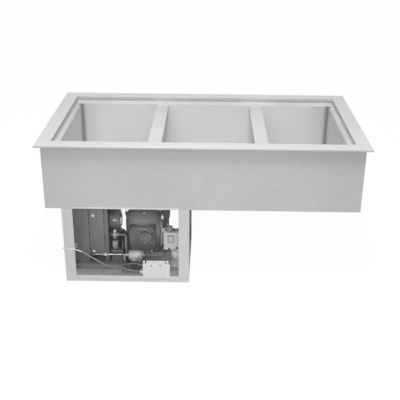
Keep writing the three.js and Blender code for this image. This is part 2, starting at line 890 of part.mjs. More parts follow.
function fanBlade() {
  const { leftShare: left, rightShare: right, bladeShare: blade } = fanShares;
  const [x0, x1] = [across(left), across(right)];
  const middle = (x0 + x1) / 2;
  const radius = upward(blade);
  const chord = (x1 - x0) * roundShare * 2;
  const pitch = Math.PI / 7;
  const blades = Array.from({ length: bladeCount }, (_, i) => {
    const span = radius - hubRadius / 2;
    const plate = new THREE.BoxGeometry(bladeSheet, chord, span);
    plate.translate(0, 0, hubRadius / 2 + span / 2);
    plate.rotateZ(pitch);
    plate.rotateX(i * 2 * Math.PI / bladeCount);
    return plate.translate(middle, 0, 0);
  });
  const hub = lyingAcross(rod(hubRadius, x0 + bladeSheet * 4, x1), 0, 0, smallSides);
  const shaftEnd = bracketFaces()[1];
  const shaft = lyingAcross(rod(shaftRadius, middle, shaftEnd), 0, 0, smallSides);
  const sweep = lyingAcross(rod(radius, x0, shaftEnd), 0, 0);
  const spun = common(join(hub, ...blades, shaft), sweep);
  return spun.translate(0, inward(fanShares.yShare), upward(fanShares.zShare));
}

function compressorPlan(grow = 0) {
  const {
    leftShare: left, rightShare: right, frontShare: front, backShare: back,
  } = compressorShares;
  const [halfX, halfY] = [(across(right) - across(left)) / 2, (inward(back) - inward(front)) / 2];
  const centre = [(across(right) + across(left)) / 2, (inward(back) + inward(front)) / 2];
  const corner = Math.min(halfX, halfY) * roundShare;
  return (inset, z) => {
    const step = inset - grow;
    const radius = Math.max(corner - step, compressorSheet);
    return roundedRing(halfX - step, halfY - step, radius, z, ...centre);
  };
}

function compressorShellLower() {
  const ring = compressorPlan();
  const s = compressorSheet;
  const [z0, z1] = [upward(compressorLevelShares.bottomShare), upward(compressorLevelShares.seamShare)];
  return loft([
    ring(s * 10, z0),
    ring(s * 2, z0 + s),
    ring(0, z0 + s * 4),
    ring(0, z1 - clearance),
    ring(s, z1 - clearance),
    ring(s, z0 + s * 4),
    ring(s * 3, z0 + s * 2),
    ring(s * 10, z0 + s),
  ]);
}

function compressorShellUpper() {
  const ring = compressorPlan();
  const s = compressorSheet;
  const [z0, z1] = [upward(compressorLevelShares.seamShare), upward(compressorLevelShares.topShare)];
  return loft([
    ring(s * 12, z1 - s),
    ring(s * 5, z1 - s * 2),
    ring(s * 2, z1 - s * 4),
    ring(s, z0),
    ring(-seamRidge, z0),
    ring(-seamRidge, z0 + s),
    ring(0, z0 + s * 2),
    ring(0, z1 - s * 5),
    ring(s, z1 - s * 3),
    ring(s * 4, z1 - s),
    ring(s * 12, z1),
  ]);
}

function compressorCore() {
  const ring = compressorPlan();
  const s = compressorSheet;
  const [z0, z1] = [upward(compressorLevelShares.bottomShare), upward(compressorLevelShares.seamShare)];
  return loft([
    ring(s * 11, z0 + s + clearance),
    ring(s * 11, z0 + s * 4),
    ring(s * 4, z0 + s * 5),
    ring(s * 4, z1 - s * 10),
    ring(s * 7, z1 - s * 10),
    ring(s * 7, z1 - s),
  ]);
}

// Foot plate on two folded runners, with a raised pad that carries the shell
function compressorFoot() {
  const { leftShare: left, rightShare: right, frontShare: front, backShare: back } = footShares;
  const [x0, x1] = [across(left), across(right)];
  const [y0, y1] = [inward(front), inward(back)];
  const top = upward(compressorLevelShares.footShare);
  const s = footSheet;
  const outline = [
    [x0, unitFloor],
    [x0 + s * 4, unitFloor],
    [x0 + s * 4, top - s],
    [x1 - s * 4, top - s],
    [x1 - s * 4, unitFloor],
    [x1, unitFloor],
    [x1, top],
    [x0, top],
  ];
  const ring = compressorPlan();
  const shellFoot = upward(compressorLevelShares.bottomShare) - clearance;
  const pad = loft([ring(s * 9, top - s), ring(s * 9, shellFoot)]);
  return join(deepPrism(outline, y0, y1), pad);
}

// Moulded cover over the terminals, shaped to the shell behind it, with a round relay cap in front
function terminalCover() {
  const { leftShare: left, rightShare: right, frontShare: front, backShare: back } = coverShares;
  const { bottomShare: bottom, shoulderShare: shoulder, topShare: top } = coverLevelShares;
  const [x0, x1] = [across(left), across(right)];
  const [z0, z1, z2] = [upward(bottom), upward(shoulder), upward(top)];
  const taper = (x1 - x0) / 4;
  const chamfer = compressorSheet * 3;
  const outline = [
    [x0 + taper, z0],
    [x1 - taper, z0],
    [x1, z1],
    [x1, z2 - chamfer],
    [x1 - chamfer, z2],
    [x0 + chamfer, z2],
    [x0, z2 - chamfer],
    [x0, z1],
  ];
  const slab = deepPrism(outline, inward(front), inward(back));
  const ring = compressorPlan(clearance);
  const shell = loft([ring(0, z0 - chamfer), ring(0, z2 + chamfer)]);
  const face = inward(front);
  const cap = rod(upward(relayShares.radiusShare), face - compressorSheet * 2, face + compressorSheet);
  const relay = lyingInward(cap, across(relayShares.xShare), upward(relayShares.zShare), roundSides);
  return join(cut(slab, shell), relay);
}

// Wire bail across the top of the terminal cover
function terminalBail() {
  const { leftShare: left, rightShare: right, highShare: high, lowShare: low } = bailShares;
  const y = inward(coverShares.frontShare) - wireRadius - clearance;
  const path = [
    [across(left), y, upward(high)],
    [across((left + right) / 2), y, upward(high)],
    [across(right) - wireRadius * 6, y, upward(low)],
    [across(right), y, upward((high + low) / 2)],
  ];
  return pipe(path, wireRadius, wireRadius * 3, 6);
}

function valveShelf() {
  const {
    leftShare: left, rightShare: right, frontShare: front, backShare: back, topShare: top,
  } = shelfShares;
  const [y0, y1] = [inward(front), inward(back)];
  const z = upward(top);
  const outline = [
    [y0, z - unitSheet],
    [y1 - unitSheet, z - unitSheet],
    [y1 - unitSheet, unitFloor],
    [y1, unitFloor],
    [y1, z],
    [y0, z],
  ];
  return widePrism(outline, across(left), across(right));
}

function lineStrainer() {
  const seat = upward(shelfShares.topShare) + clearance;
  const top = upward(valveShares.lowShare);
  const taper = strainerBarrel * roundShare;
  return standing([
    [0, seat],
    [strainerBarrel / 3, seat],
    [strainerBarrel, seat + taper],
    [strainerBarrel, top - strainerBarrel / 4],
    [strainerBarrel * roundShare, top],
    [0, top],
  ], across(valveShares.xShare), inward(valveShares.yShare), smallSides);
}

function serviceValve() {
  const [x, y] = [across(valveShares.xShare), inward(valveShares.yShare)];
  const foot = upward(valveShares.lowShare) + clearance;
  const top = upward(valveShares.highShare);
  const body = standing([
    [0, foot],
    [valveArm, foot],
    [valveArm, foot + valveArm / 2],
    [valveBody, foot + valveArm],
    [valveBody, top],
    [stemRadius, top],
    [stemRadius, top + capHeight / 2],
    [0, top + capHeight / 2],
  ], x, y, smallSides);
  const [left, right] = [across(valveShares.leftShare), x + valveBody + valveArm];
  const arm = lyingAcross(rod(valveArm, left, right), y, upward(valveShares.armShare), 8);
  return join(body, arm);
}

function valveCap() {
  const seat = upward(valveShares.highShare) + clearance;
  const inner = stemRadius + clearance;
  const roof = seat + capHeight / 2 + clearance;
  return standing([
    [0, roof],
    [inner, roof],
    [inner, seat],
    [capRadius, seat],
    [capRadius, seat + capHeight * roundShare],
    [capRadius * roundShare, seat + capHeight],
    [0, seat + capHeight],
  ], across(valveShares.xShare), inward(valveShares.yShare), smallSides);
}

// Liquid tube with a tee: from the condenser, up to the valve and forward to the drier
function liquidLine() {
  const y = inward(valveShares.yShare);
  const z = upward(tubeShares.liquidShare);
  const x = across(tubeShares.riserShare);
  const arm = upward(valveShares.armShare);
  const start = across(condenserShares.rightShare) + clearance;
  const valveEnd = across(valveShares.xShare) + valveBody + valveArm + clearance;
  const drierEnd = across(drierShares.leftShare) - drierNeck - clearance;
  const [drierY, drierZ] = [inward(drierShares.yShare), upward(drierShares.zShare)];
  const half = tubeRadius * 4 / 3;
  const run = pipe([[start, y, z], [x, y, z]], tubeRadius);
  const riser = pipe([[x, y, z], [x, y, arm], [valveEnd, y, arm]], tubeRadius);
  const bends = [[x, drierY, z], [x, drierY, drierZ]];
  const feed = pipe([[x, y, z], ...bends, [drierEnd, drierY, drierZ]], tubeRadius);
  const tee = block(x - half, x + half, y - half, y + half, z - half, z + half);
  return join(tee, run, riser, feed);
}

function filterDrier() {
  const [x0, x1] = [across(drierShares.leftShare), across(drierShares.rightShare)];
  const taper = drierNeck * roundShare;
  return lyingAcross([
    [0, x0 - drierNeck],
    [drierNeck, x0 - drierNeck],
    [drierNeck, x0],
    [drierRadius - taper, x0],
    [drierRadius, x0 + taper],
    [drierRadius, x1 - taper],
    [drierRadius - taper, x1],
    [drierNeck, x1],
    [drierNeck, x1 + drierNeck],
    [0, x1 + drierNeck],
  ], inward(drierShares.yShare), upward(drierShares.zShare));
}

// Saddle under the drier on a folded leg that stands in the pan
function drierClip() {
  const [x0, x1] = [across(drierShares.leftShare) + drierNeck, across(drierShares.rightShare) - drierNeck];
  const y = inward(drierShares.yShare);
  const top = upward(drierShares.zShare) - drierRadius - clearance;
  const half = drierRadius * 2 / 3;
  const outline = [
    [y - half, top - unitSheet],
    [y + half - unitSheet, top - unitSheet],
    [y + half - unitSheet, panFloor + clearance],
    [y + half, panFloor + clearance],
    [y + half, top],
    [y - half, top],
  ];
  return widePrism(outline, x0, x1);
}

// Thin tube from the drier to the expansion valve on its upper end
function valveLine() {
  const start = across(drierShares.rightShare) + drierNeck + clearance;
  const [y, z] = [inward(drierShares.yShare), upward(drierShares.zShare)];
  const [x, backY] = [across(expansionShares.xShare), inward(expansionShares.yShare)];
  const foot = upward(expansionShares.bottomShare);
  const top = upward(expansionShares.topShare);
  const path = [[start, y, z], [x, y, z], [x, backY, z], [x, backY, foot + smallTubeRadius]];
  const tube = pipe(path, smallTubeRadius);
  const body = standing([
    [0, foot],
    [tubeRadius * 2, foot],
    [tubeRadius * 2, (foot + top) / 2],
    [tubeRadius * 3, (foot + top) / 2],
    [tubeRadius * 3, top - tubeRadius],
    [tubeRadius * 2, top],
    [0, top],
  ], x, backY, smallSides);
  return join(tube, body);
}

function suctionLine() {
  const {
    xShare: x, yShare: y, lowXShare: lowX, bendShare: bend, kneeShare: knee, endShare: end,
  } = suctionShares;
  const depth = inward(y);
  const face = across(compressorShares.rightShare) + clearance;
  return pipe([
    [across(x), depth, frameHeight - trayLip / 3 - clearance],
    [across(x), depth, upward(bend)],
    [across(lowX), depth, upward(knee)],
    [across(lowX), depth, upward(end)],
    [face, depth, upward(end)],
  ], tubeRadius);
}

function suctionSleeve() {
  const inner = tubeRadius + clearance;
  const [foot, shoulder] = [upward(sleeveShares.bottomShare), upward(sleeveShares.shoulderShare)];
  const top = frameHeight - clearance;
  return standing([
    [inner, foot],
    [sleeveTip, foot],
    [sleeveRadius, shoulder],
    [sleeveRadius, top],
    [inner, top],
    [inner, foot],
  ], across(suctionShares.xShare), inward(suctionShares.yShare), smallSides);
}

function dischargeLine() {
  const { yShare: y, zShare: z } = dischargeShares;
  const { leftShare: left, rightShare: right, backShare: back } = compressorShares;
  const x = across((left + right) / 2);
  const high = upward(tubeShares.highLineShare);
  return pipe([
    [x, inward(back) + clearance, upward(z)],
    [x, inward(y), upward(z)],
    [x, inward(y), high],
    [across(condenserShares.rightShare) + clearance, inward(y), high],
  ], tubeRadius);
}

// Receiver on its saddle, with the tube that brings liquid from the condenser
function receiver() {
  const { xShare: x, frontShare: front, backShare: back } = receiverShares;
  const [y0, y1] = [inward(front), inward(back)];
  const centre = unitFloor + saddleHeight + receiverRadius;
  const r = receiverRadius;
  const barrel = lyingInward([
    [0, y0],
    [r * 2 / 3, y0 + r / 8],
    [r, y0 + r / 2],
    [r, y1 - r / 2],
    [r * 2 / 3, y1 - r / 8],
    [0, y1],
  ], across(x), centre);
  const [low, high] = [(y0 * 3 + y1) / 4, (y0 + y1 * 3) / 4];
  const saddle = block(across(x) - r / 2, across(x) + r / 2, low, high, unitFloor, centre - r * 2 / 3);
  const start = across(condenserShares.rightShare) + clearance;
  const [behind, below] = [inward(tubeShares.backShare), upward(tubeShares.lowShare)];
  const line = pipe([
    [start, behind, below],
    [across(x), behind, below],
    [across(x), behind, centre],
    [across(x), y1 - r / 4, centre],
  ], tubeRadius);
  return join(barrel, saddle, line);
}

// Control box with its post, open to the front
function controlBox() {
  const { leftShare: left, rightShare: right, frontShare: front, backShare: back } = controlShares;
  const [x0, x1] = [across(left), across(right)];
  const [y0, y1] = [inward(front), inward(back)];
  const [z0, z1] = [upward(controlLevelShares.bottomShare), upward(controlLevelShares.topShare)];
  const s = boxSheet;
  const shell = block(x0, x1, y0, y1, z0, z1);
  const inside = block(x0 + s, x1 - s, y0 - s, y1 - s, z0 + s, z1 - s);
  const way = rod(spindleRadius + clearance, z1 - s * 2, z1 + s);
  const hole = standing(way, across(knobShares.xShare), inward(knobShares.yShare), smallSides);
  const post = block(
    across(controlPostShares.leftShare),
    across(controlPostShares.rightShare),
    y1 - s / 2,
    y1 + s,
    unitFloor,
    z1 - s,
  );
  return join(cut(shell, inside, hole), post);
}

function controlCover() {
  const { leftShare: left, rightShare: right, frontShare: front } = controlShares;
  const y1 = inward(front) - clearance;
  const [z0, z1] = [upward(controlLevelShares.bottomShare), upward(controlLevelShares.topShare)];
  return block(across(left), across(right), y1 - boxSheet, y1, z0, z1);
}

function thermostatKnob() {
  const seat = upward(controlLevelShares.topShare) + clearance;
  const r = knobRadius;
  return standing([
    [0, seat - knobHeight / 2],
    [spindleRadius, seat - knobHeight / 2],
    [spindleRadius, seat],
    [r, seat],
    [r, seat + knobHeight * 2 / 3],
    [r * roundShare, seat + knobHeight * roundShare],
    [r * 2 / 3, seat + knobHeight],
    [0, seat + knobHeight],
  ], across(knobShares.xShare), inward(knobShares.yShare));
}

// Box on the front rail with its cable connector, open to the front
function junctionBox() {
  const [x0, x1] = [across(junctionShares.leftShare), across(junctionShares.rightShare)];
  const [y0, y1] = [frameFront, frameFront + junctionDepth];
  const [z0, z1] = [railHeight + clearance, railHeight + clearance + junctionHeight];
  const s = junctionSheet;
  const shell = block(x0, x1, y0, y1, z0, z1);
  const inside = block(x0 + s, x1 - s, y0 - s, y1 - s, z0 + s, z1 - s);
  const nose = rod(connectorRadius, x0 - connectorLength, x0 + s / 2);
  const z = z0 + connectorRadius + s;
  return join(cut(shell, inside), lyingAcross(nose, (y0 + y1) / 2, z, smallSides));
}

function junctionCover() {
  const [x0, x1] = [across(junctionShares.coverLeftShare), across(junctionShares.coverRightShare)];
  const y1 = frameFront - clearance;
  const [z0, z1] = [railHeight - junctionOverlap, railHeight + clearance + junctionHeight];
  const c = connectorRadius / 2;
  const outline = [
    [x0 + c, z0],
    [x1 - c, z0],
    [x1, z0 + c],
    [x1, z1 - c / 2],
    [x1 - c / 2, z1],
    [x0 + c / 2, z1],
    [x0, z1 - c / 2],
    [x0, z0 + c],
  ];
  return deepPrism(outline, y1 - junctionSheet, y1);
}

// Thin lead from the connector to the left leg and up inside it
const leadShares = [
  { x: 0.5467, z: 0.1468 },
  { x: 0.4822, z: 0.1741 },
  { x: 0.3289, z: 0.2116 },
  { x: 0.1378, z: 0.4061 },
  { x: 0.0711, z: 0.4437 },
];
const tieShare = 0.4539;

function sensorLead() {
  const startX = across(junctionShares.leftShare) - connectorLength - clearance;
  const startZ = railHeight + clearance + connectorRadius + junctionSheet;
  const y = frameFront + legGauge + leadRadius * 2;
  const boxY = frameFront + junctionDepth / 2;
  const path = leadShares.map(({ x, z }) => [across(x), y, upward(z)]);
  const end = frameLeft + legFace - leadRadius * 6;
  return pipe([
    [startX, boxY, startZ],
    [startX - connectorRadius, boxY, startZ],
    ...path,
    [end, y, upward(leadShares.at(-1).z) + legFace],
    [end, y, frameHeight - legGauge - clearance],
  ], leadRadius, leadBend, 6);
}

// Band round the leg and the lead, with its cut tail
function leadTie() {
  const middle = upward(tieShare);
  const [z0, z1] = [middle - tieHeight / 2, middle + tieHeight / 2];
  const ring = (gap, z) => {
    const [x0, x1] = [frameLeft - gap, frameLeft + legFace + gap];
    const [y0, y1] = [frameFront - gap, frameFront + legFace + gap];
    return [[x1, y0, z], [x1, y1, z], [x0, y1, z], [x0, y0, z]];
  };
  const outer = clearance + tieBand;
  const band = loft([ring(outer, z0), ring(outer, z1), ring(clearance, z1), ring(clearance, z0)], true);
  const y = frameFront - clearance;
  const tail = block(frameLeft - outer - tieTail, frameLeft, y - tieBand, y, z0 + tieBand, z1 - tieBand);
  return join(band, tail);
}

// Black lead that loops on the pan between the junction box and the terminal cover
const loopShares = [
  { x: 0.56, y: 0.0691, z: 0.2116 },
  { x: 0.46, y: 0.0718, z: 0.2 },
  { x: 0.4467, y: 0.0718, z: 0.13 },
  { x: 0.51, y: 0.0718, z: 0.1 },
  { x: 0.58, y: 0.0773, z: 0.105 },
  { x: 0.6467, y: 0.11, z: 0.14 },
];

function powerLead() {
  const startX = across(junctionShares.leftShare) - clearance;
  const startY = frameFront + junctionDepth * 2 / 3;
  const startZ = railHeight + junctionHeight * 2 / 3;
  const endX = across(coverShares.leftShare + (coverShares.rightShare - coverShares.leftShare) * 2 / 3);
  const endY = inward(coverShares.frontShare) + powerLeadRadius * 2;
  const path = loopShares.map(({ x, y, z }) => [across(x), inward(y), upward(z)]);
  return pipe([
    [startX, startY, startZ],
    [startX - powerLeadRadius * 3, startY, startZ],
    ...path,
    [endX, endY, path.at(-1)[2]],
    [endX, endY, upward(coverLevelShares.bottomShare) - clearance],
  ], powerLeadRadius, leadBend, 6);
}

// Assembly
const group = new THREE.Group();
group.name = 'drop_in_food_well';

function place(name, geometry, material) {
  const body = outward(geometry);
  body.computeVertexNormals();
  const mesh = new THREE.Mesh(body, material);
  mesh.name = name;
  group.add(mesh);
}

place('top_flange', topFlange(), stainless);
place('breaker_front', breakerAcross(-1), breakerPlastic);
place('breaker_back', breakerAcross(1), breakerPlastic);
place('breaker_left', breakerInward(-1), breakerPlastic);
place('breaker_right', breakerInward(1), breakerPlastic);
place('well_liner', wellLiner(), linerSteel);
place('evaporator_coil', evaporatorCoil(), copper);
place('insulation', insulation(), foam);
place('casing_front', casingAcross(-1), galvanised);
place('casing_back', casingAcross(1), galvanised);
place('casing_left', casingSide(-1), galvanised);
place('casing_right', casingSide(1), galvanised);
place('casing_bottom', casingFloor(), galvanised);
place('adapter_bar_left', adapterBar(barShares.leftShare), stainless);
place('adapter_bar_right', adapterBar(barShares.rightShare), stainless);
place('drain_tailpiece', drainTailpiece(), brass);
place('drain_locknut', drainLocknut(), brass);
place('drain_strainer', drainStrainer(), stainless);

place('leg_front_left', leg(frameLeft, frameFront, 1, 1), galvanised);
place('leg_front_right', leg(frameRight, frameFront, -1, 1), galvanised);
place('leg_back_left', leg(frameLeft, frameBack, 1, -1), galvanised);
place('leg_back_right', leg(frameRight, frameBack, -1, -1), galvanised);
place('rail_front', railAcross(frameFront, 1), galvanised);
place('rail_back', railAcross(frameBack, -1), galvanised);
place('rail_left', railInward(frameLeft, 1), galvanised);
place('rail_right', railInward(frameRight, -1), galvanised);
place('base_pan', basePan(), panSteel);

place('unit_base', unitBase(), darkSteel);
place('condenser_coil', condenserCoil(), finGrey);
place('fan_shroud', fanShroud(), shroudGrey);
place('fan_motor_bracket', fanMotorBracket(), darkSteel);
place('fan_motor', fanMotor(), darkSteel);
place('fan_blade', fanBlade(), brightSteel);
place('compressor_foot', compressorFoot(), darkSteel);
place('compressor_shell_lower', compressorShellLower(), darkSteel);
place('compressor_shell_upper', compressorShellUpper(), darkSteel);
place('compressor_core', compressorCore(), brightSteel);
place('terminal_cover', terminalCover(), blackPlastic);
place('terminal_bail', terminalBail(), brightSteel);
place('valve_shelf', valveShelf(), shroudGrey);
place('line_strainer', lineStrainer(), brass);
place('service_valve', serviceValve(), brass);
place('valve_cap', valveCap(), brass);
place('liquid_line', liquidLine(), copper);
place('filter_drier', filterDrier(), brightSteel);
place('drier_clip', drierClip(), brightSteel);
place('valve_line', valveLine(), copper);
place('suction_line', suctionLine(), copper);
place('suction_sleeve', suctionSleeve(), blackFoam);
place('discharge_line', dischargeLine(), copper);
place('receiver', receiver(), boxGrey);
place('control_box', controlBox(), boxGrey);
place('control_cover', controlCover(), boxGrey);
place('thermostat_knob', thermostatKnob(), greyKnob);
place('junction_box', junctionBox(), galvanised);
place('junction_cover', junctionCover(), galvanised);
place('sensor_lead', sensorLead(), leadWhite);
place('lead_tie', leadTie(), leadWhite);
place('power_lead', powerLead(), blackRubber);

export default group;
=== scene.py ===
import math

import bpy
from mathutils import Matrix, Vector


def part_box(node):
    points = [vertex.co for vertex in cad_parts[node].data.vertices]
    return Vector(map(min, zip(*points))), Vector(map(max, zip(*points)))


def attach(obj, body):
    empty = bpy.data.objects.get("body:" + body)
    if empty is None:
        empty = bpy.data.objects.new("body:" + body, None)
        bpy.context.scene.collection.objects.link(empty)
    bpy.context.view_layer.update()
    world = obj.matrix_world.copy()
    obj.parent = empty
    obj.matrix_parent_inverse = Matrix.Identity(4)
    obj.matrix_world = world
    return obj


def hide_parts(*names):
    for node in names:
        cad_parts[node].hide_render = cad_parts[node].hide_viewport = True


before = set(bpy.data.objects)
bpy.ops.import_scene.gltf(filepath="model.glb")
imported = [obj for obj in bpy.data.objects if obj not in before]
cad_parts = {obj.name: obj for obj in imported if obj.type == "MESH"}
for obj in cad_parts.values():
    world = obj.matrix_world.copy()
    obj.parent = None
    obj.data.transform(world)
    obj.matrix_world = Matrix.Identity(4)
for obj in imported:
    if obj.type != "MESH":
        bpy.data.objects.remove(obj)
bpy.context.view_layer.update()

# Camera: it stands in front of the well, a little right of its middle and above the rim, and looks
# down into it with a long lens.
CAMERA_PLACE = (0.0191, -2.6169, 1.3756)
CAMERA_PITCH = math.radians(90 - 24.282)
CAMERA_YAW = math.radians(0.685)
CAMERA_ROLL = math.radians(0.510)
bpy.ops.object.camera_add(location=CAMERA_PLACE)
camera = bpy.context.object
camera.name = "photo_camera"
turn = Matrix.Rotation(CAMERA_YAW, 4, "Z") @ Matrix.Rotation(CAMERA_PITCH, 4, "X")
camera.rotation_euler = (turn @ Matrix.Rotation(CAMERA_ROLL, 4, "Z")).to_euler()
camera.data.sensor_width = 36.0
camera.data.lens = 65.54
camera.data.clip_end = 50
bpy.context.scene.camera = camera

# Floor: one wide plain pale sheet that the frame stands on. The camera and mirror-like metal see it
# almost as white as the backdrop, and it keeps the shadow under the object.
bpy.ops.mesh.primitive_grid_add(x_subdivisions=4, y_subdivisions=4, size=16, location=(0, 0, -0.0002))
floor = bpy.context.object
floor.name = "floor"
floor_material = bpy.data.materials.new("pale_floor")
floor_material.use_nodes = True


def shader_node(tree, kind, strength, value):
    """A node of one plain grey, with its strength where the kind has one."""
    node = tree.nodes.new(kind)
    node.inputs["Color"].default_value = (value, value, value, 1)
    if strength:
        node.inputs["Strength"].default_value = strength
    return node


def two_looks(tree, plain, shown, rays, share, output):
    """The object is lit by plain, while the named rays see this share of the other shader."""
    path = tree.nodes.new("ShaderNodeLightPath")
    factor = path.outputs[rays[0]]
    for ray in rays[1:]:
        either = tree.nodes.new("ShaderNodeMath")
        either.operation = "MAXIMUM"
        tree.links.new(factor, either.inputs[0])
        tree.links.new(path.outputs[ray], either.inputs[1])
        factor = either.outputs[0]
    part = tree.nodes.new("ShaderNodeMath")
    part.operation = "MULTIPLY"
    part.inputs[1].default_value = share
    tree.links.new(factor, part.inputs[0])
    mix = tree.nodes.new("ShaderNodeMixShader")
    for source, socket in zip((part, plain, shown), mix.inputs):
        tree.links.new(source.outputs[0], socket)
    tree.links.new(mix.outputs[0], tree.nodes.new(output).inputs["Surface"])


tree = floor_material.node_tree
tree.nodes.clear()
two_looks(tree, shader_node(tree, "ShaderNodeBsdfDiffuse", None, 0.86),
          shader_node(tree, "ShaderNodeEmission", 1.06, 1), ("Is Camera Ray", "Is Glossy Ray"), 0.9,
          "ShaderNodeOutputMaterial")
floor.data.materials.append(floor_material)

# Light: a soft lamp overhead, a fill from the front left whose beam fades toward the well's ends, and a
# plain pale world. The camera and mirror-like metal see the world as white.
world = bpy.context.scene.world or bpy.data.worlds.new("studio")
bpy.context.scene.world = world
world.use_nodes = True
tree = world.node_tree
tree.nodes.clear()
two_looks(tree, shader_node(tree, "ShaderNodeBackground", 0.3, 1),
          shader_node(tree, "ShaderNodeBackground", 1, 1),
          ("Is Camera Ray", "Is Glossy Ray", "Is Transmission Ray"), 1, "ShaderNodeOutputWorld")


def lamp(name, place, target, size, watts, beam):
    bpy.ops.object.light_add(type="AREA", location=place)
    light = bpy.context.object
    light.name = name
    light.data.size = size
    light.data.energy = watts
    light.data.spread = math.radians(beam)
    light.rotation_euler = (Vector(target) - Vector(place)).to_track_quat("-Z", "Y").to_euler()


lamp("overhead_soft_light", (0.0, -0.9, 2.4), (0.0, 0.0, 0.4), 0.5, 38, 180)
lamp("front_fill", (-0.2, -2.8, 1.6), (-0.06, 0.0, 0.2), 1.2, 4.2, 56)
bpy.context.scene.view_settings.view_transform = "Standard"

# Top flange: one stainless frame, cut and folded down at its outer edge and inside the opening. Its
# brushed grain runs along the well.


def linked(name, data):
    piece = bpy.data.objects.new(name, data)
    bpy.context.collection.objects.link(piece)
    return piece


def clear_selection():
    bpy.ops.object.select_all(action="DESELECT")


def take(piece):
    clear_selection()
    piece.select_set(True)
    bpy.context.view_layer.objects.active = piece


def apply_modifiers(piece):
    take(piece)
    for modifier in list(piece.modifiers):
        bpy.ops.object.modifier_apply(modifier=modifier.name)


def smooth(piece, degrees=35):
    take(piece)
    bpy.ops.object.shade_smooth_by_angle(angle=math.radians(degrees))


def keep_faces_flat(piece):
    """Smooth shading over the rounded edges, while the flat faces between them stay flat."""
    smooth(piece, 50)
    weighted = piece.modifiers.new("flat_faces", "WEIGHTED_NORMAL")
    weighted.keep_sharp = True
    apply_modifiers(piece)


def round_edges(piece, width, segments=2, degrees=30):
    bevel = piece.modifiers.new("edges", "BEVEL")
    bevel.width = width
    bevel.segments = segments
    bevel.limit_method = "ANGLE"
    bevel.angle_limit = math.radians(degrees)
    apply_modifiers(piece)
    keep_faces_flat(piece)
    return piece


def edit_all(piece):
    take(piece)
    bpy.ops.object.mode_set(mode="EDIT")
    bpy.ops.mesh.select_all(action="SELECT")


def leave_edit():
    bpy.ops.object.mode_set(mode="OBJECT")


def softened(node, width, segments=2, degrees=25):
    """A copy of a node's mesh, with its loose triangles merged to flat faces and its edges rounded."""
    piece = linked(node + "_finished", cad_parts[node].data.copy())
    take(piece)
    bpy.ops.mesh.customdata_custom_splitnormals_clear()
    edit_all(piece)
    bpy.ops.mesh.remove_doubles(threshold=1e-5)
    bpy.ops.mesh.dissolve_limited(angle_limit=math.radians(0.4))
    leave_edit()
    return round_edges(piece, width, segments, degrees)


def dress(piece, material, slot, *replaced, body="well"):
    piece.data.materials.clear()
    piece.data.materials.append(material)
    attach(piece, body)
    if replaced:
        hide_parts(*replaced)


def refine(node, material, slot, width, segments=2, degrees=25, body="well"):
    dress(softened(node, width, segments, degrees), material, slot, node, body=body)


def surface(name, color, roughness, metallic):
    """A material with a Principled shader, and its Object coordinates ready for a pattern."""
    material = bpy.data.materials.new(name)
    material.use_nodes = True
    tree = material.node_tree
    shader = tree.nodes["Principled BSDF"]
    shader.inputs["Base Color"].default_value = (*color, 1)
    shader.inputs["Roughness"].default_value = roughness
    shader.inputs["Metallic"].default_value = metallic
    place = tree.nodes.new("ShaderNodeTexCoord")
    return material, tree, shader, place.outputs["Object"]


def noise(tree, where, scale, detail=3.0, stretch=(1, 1, 1)):
    mapping = tree.nodes.new("ShaderNodeMapping")
    mapping.inputs["Scale"].default_value = stretch
    tree.links.new(where, mapping.inputs["Vector"])
    pattern = tree.nodes.new("ShaderNodeTexNoise")
    pattern.inputs["Scale"].default_value = scale
    pattern.inputs["Detail"].default_value = detail
    tree.links.new(mapping.outputs["Vector"], pattern.inputs["Vector"])
    return pattern.outputs["Fac"]


def shades(tree, pattern, dark, light, low=0.3, high=0.7):
    """Turns a pattern into a colour between two shades."""
    ramp = tree.nodes.new("ShaderNodeValToRGB")
    ramp.color_ramp.elements[0].position = low
    ramp.color_ramp.elements[0].color = (*dark, 1)
    ramp.color_ramp.elements[1].position = high
    ramp.color_ramp.elements[1].color = (*light, 1)
    tree.links.new(pattern, ramp.inputs["Fac"])
    return ramp.outputs["Color"]


def spread(tree, pattern, low, high):
    """Turns a pattern into a number between two values."""
    scale = tree.nodes.new("ShaderNodeMapRange")
    scale.inputs["To Min"].default_value = low
    scale.inputs["To Max"].default_value = high
    tree.links.new(pattern, scale.inputs["Value"])
    return scale.outputs["Result"]


def paint(tree, shader, color):
    tree.links.new(color, shader.inputs["Base Color"])


def dull(tree, shader, roughness):
    tree.links.new(roughness, shader.inputs["Roughness"])


def relief(tree, shader, pattern, strength, depth):
    bump = tree.nodes.new("ShaderNodeBump")
    bump.inputs["Strength"].default_value = strength
    bump.inputs["Distance"].default_value = depth
    tree.links.new(pattern, bump.inputs["Height"])
    tree.links.new(bump.outputs["Normal"], shader.inputs["Normal"])


def tinted(tree, color, share):
    """A colour made darker or lighter by a share."""
    mix = tree.nodes.new("ShaderNodeVectorMath")
    mix.operation = "SCALE"
    tree.links.new(color, mix.inputs[0])
    tree.links.new(share, mix.inputs["Scale"])
    return mix.outputs[0]


def frame_top(node):
    return max(point[2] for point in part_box(node))


def grey(level):
    """The linear value of a grey that shows at this share of white."""
    return (level ** 2.2,) * 3


def along_axis(tree, where, axis, start, end):
    """A number that goes from 0 to 1 between two places on an axis."""
    parts = tree.nodes.new("ShaderNodeSeparateXYZ")
    tree.links.new(where, parts.inputs["Vector"])
    span = tree.nodes.new("ShaderNodeMapRange")
    span.inputs["From Min"].default_value = start
    span.inputs["From Max"].default_value = end
    tree.links.new(parts.outputs[axis], span.inputs["Value"])
    return span.outputs["Result"]


def banded(tree, where, color, bands):
    """A colour that changes along an axis. Each band is the axis, the two places between which it
    changes, and the colour's share before and after them."""
    for axis, start, end, before, after in bands:
        share = spread(tree, along_axis(tree, where, axis, start, end), before, after)
        color = tinted(tree, color, share)
    return color


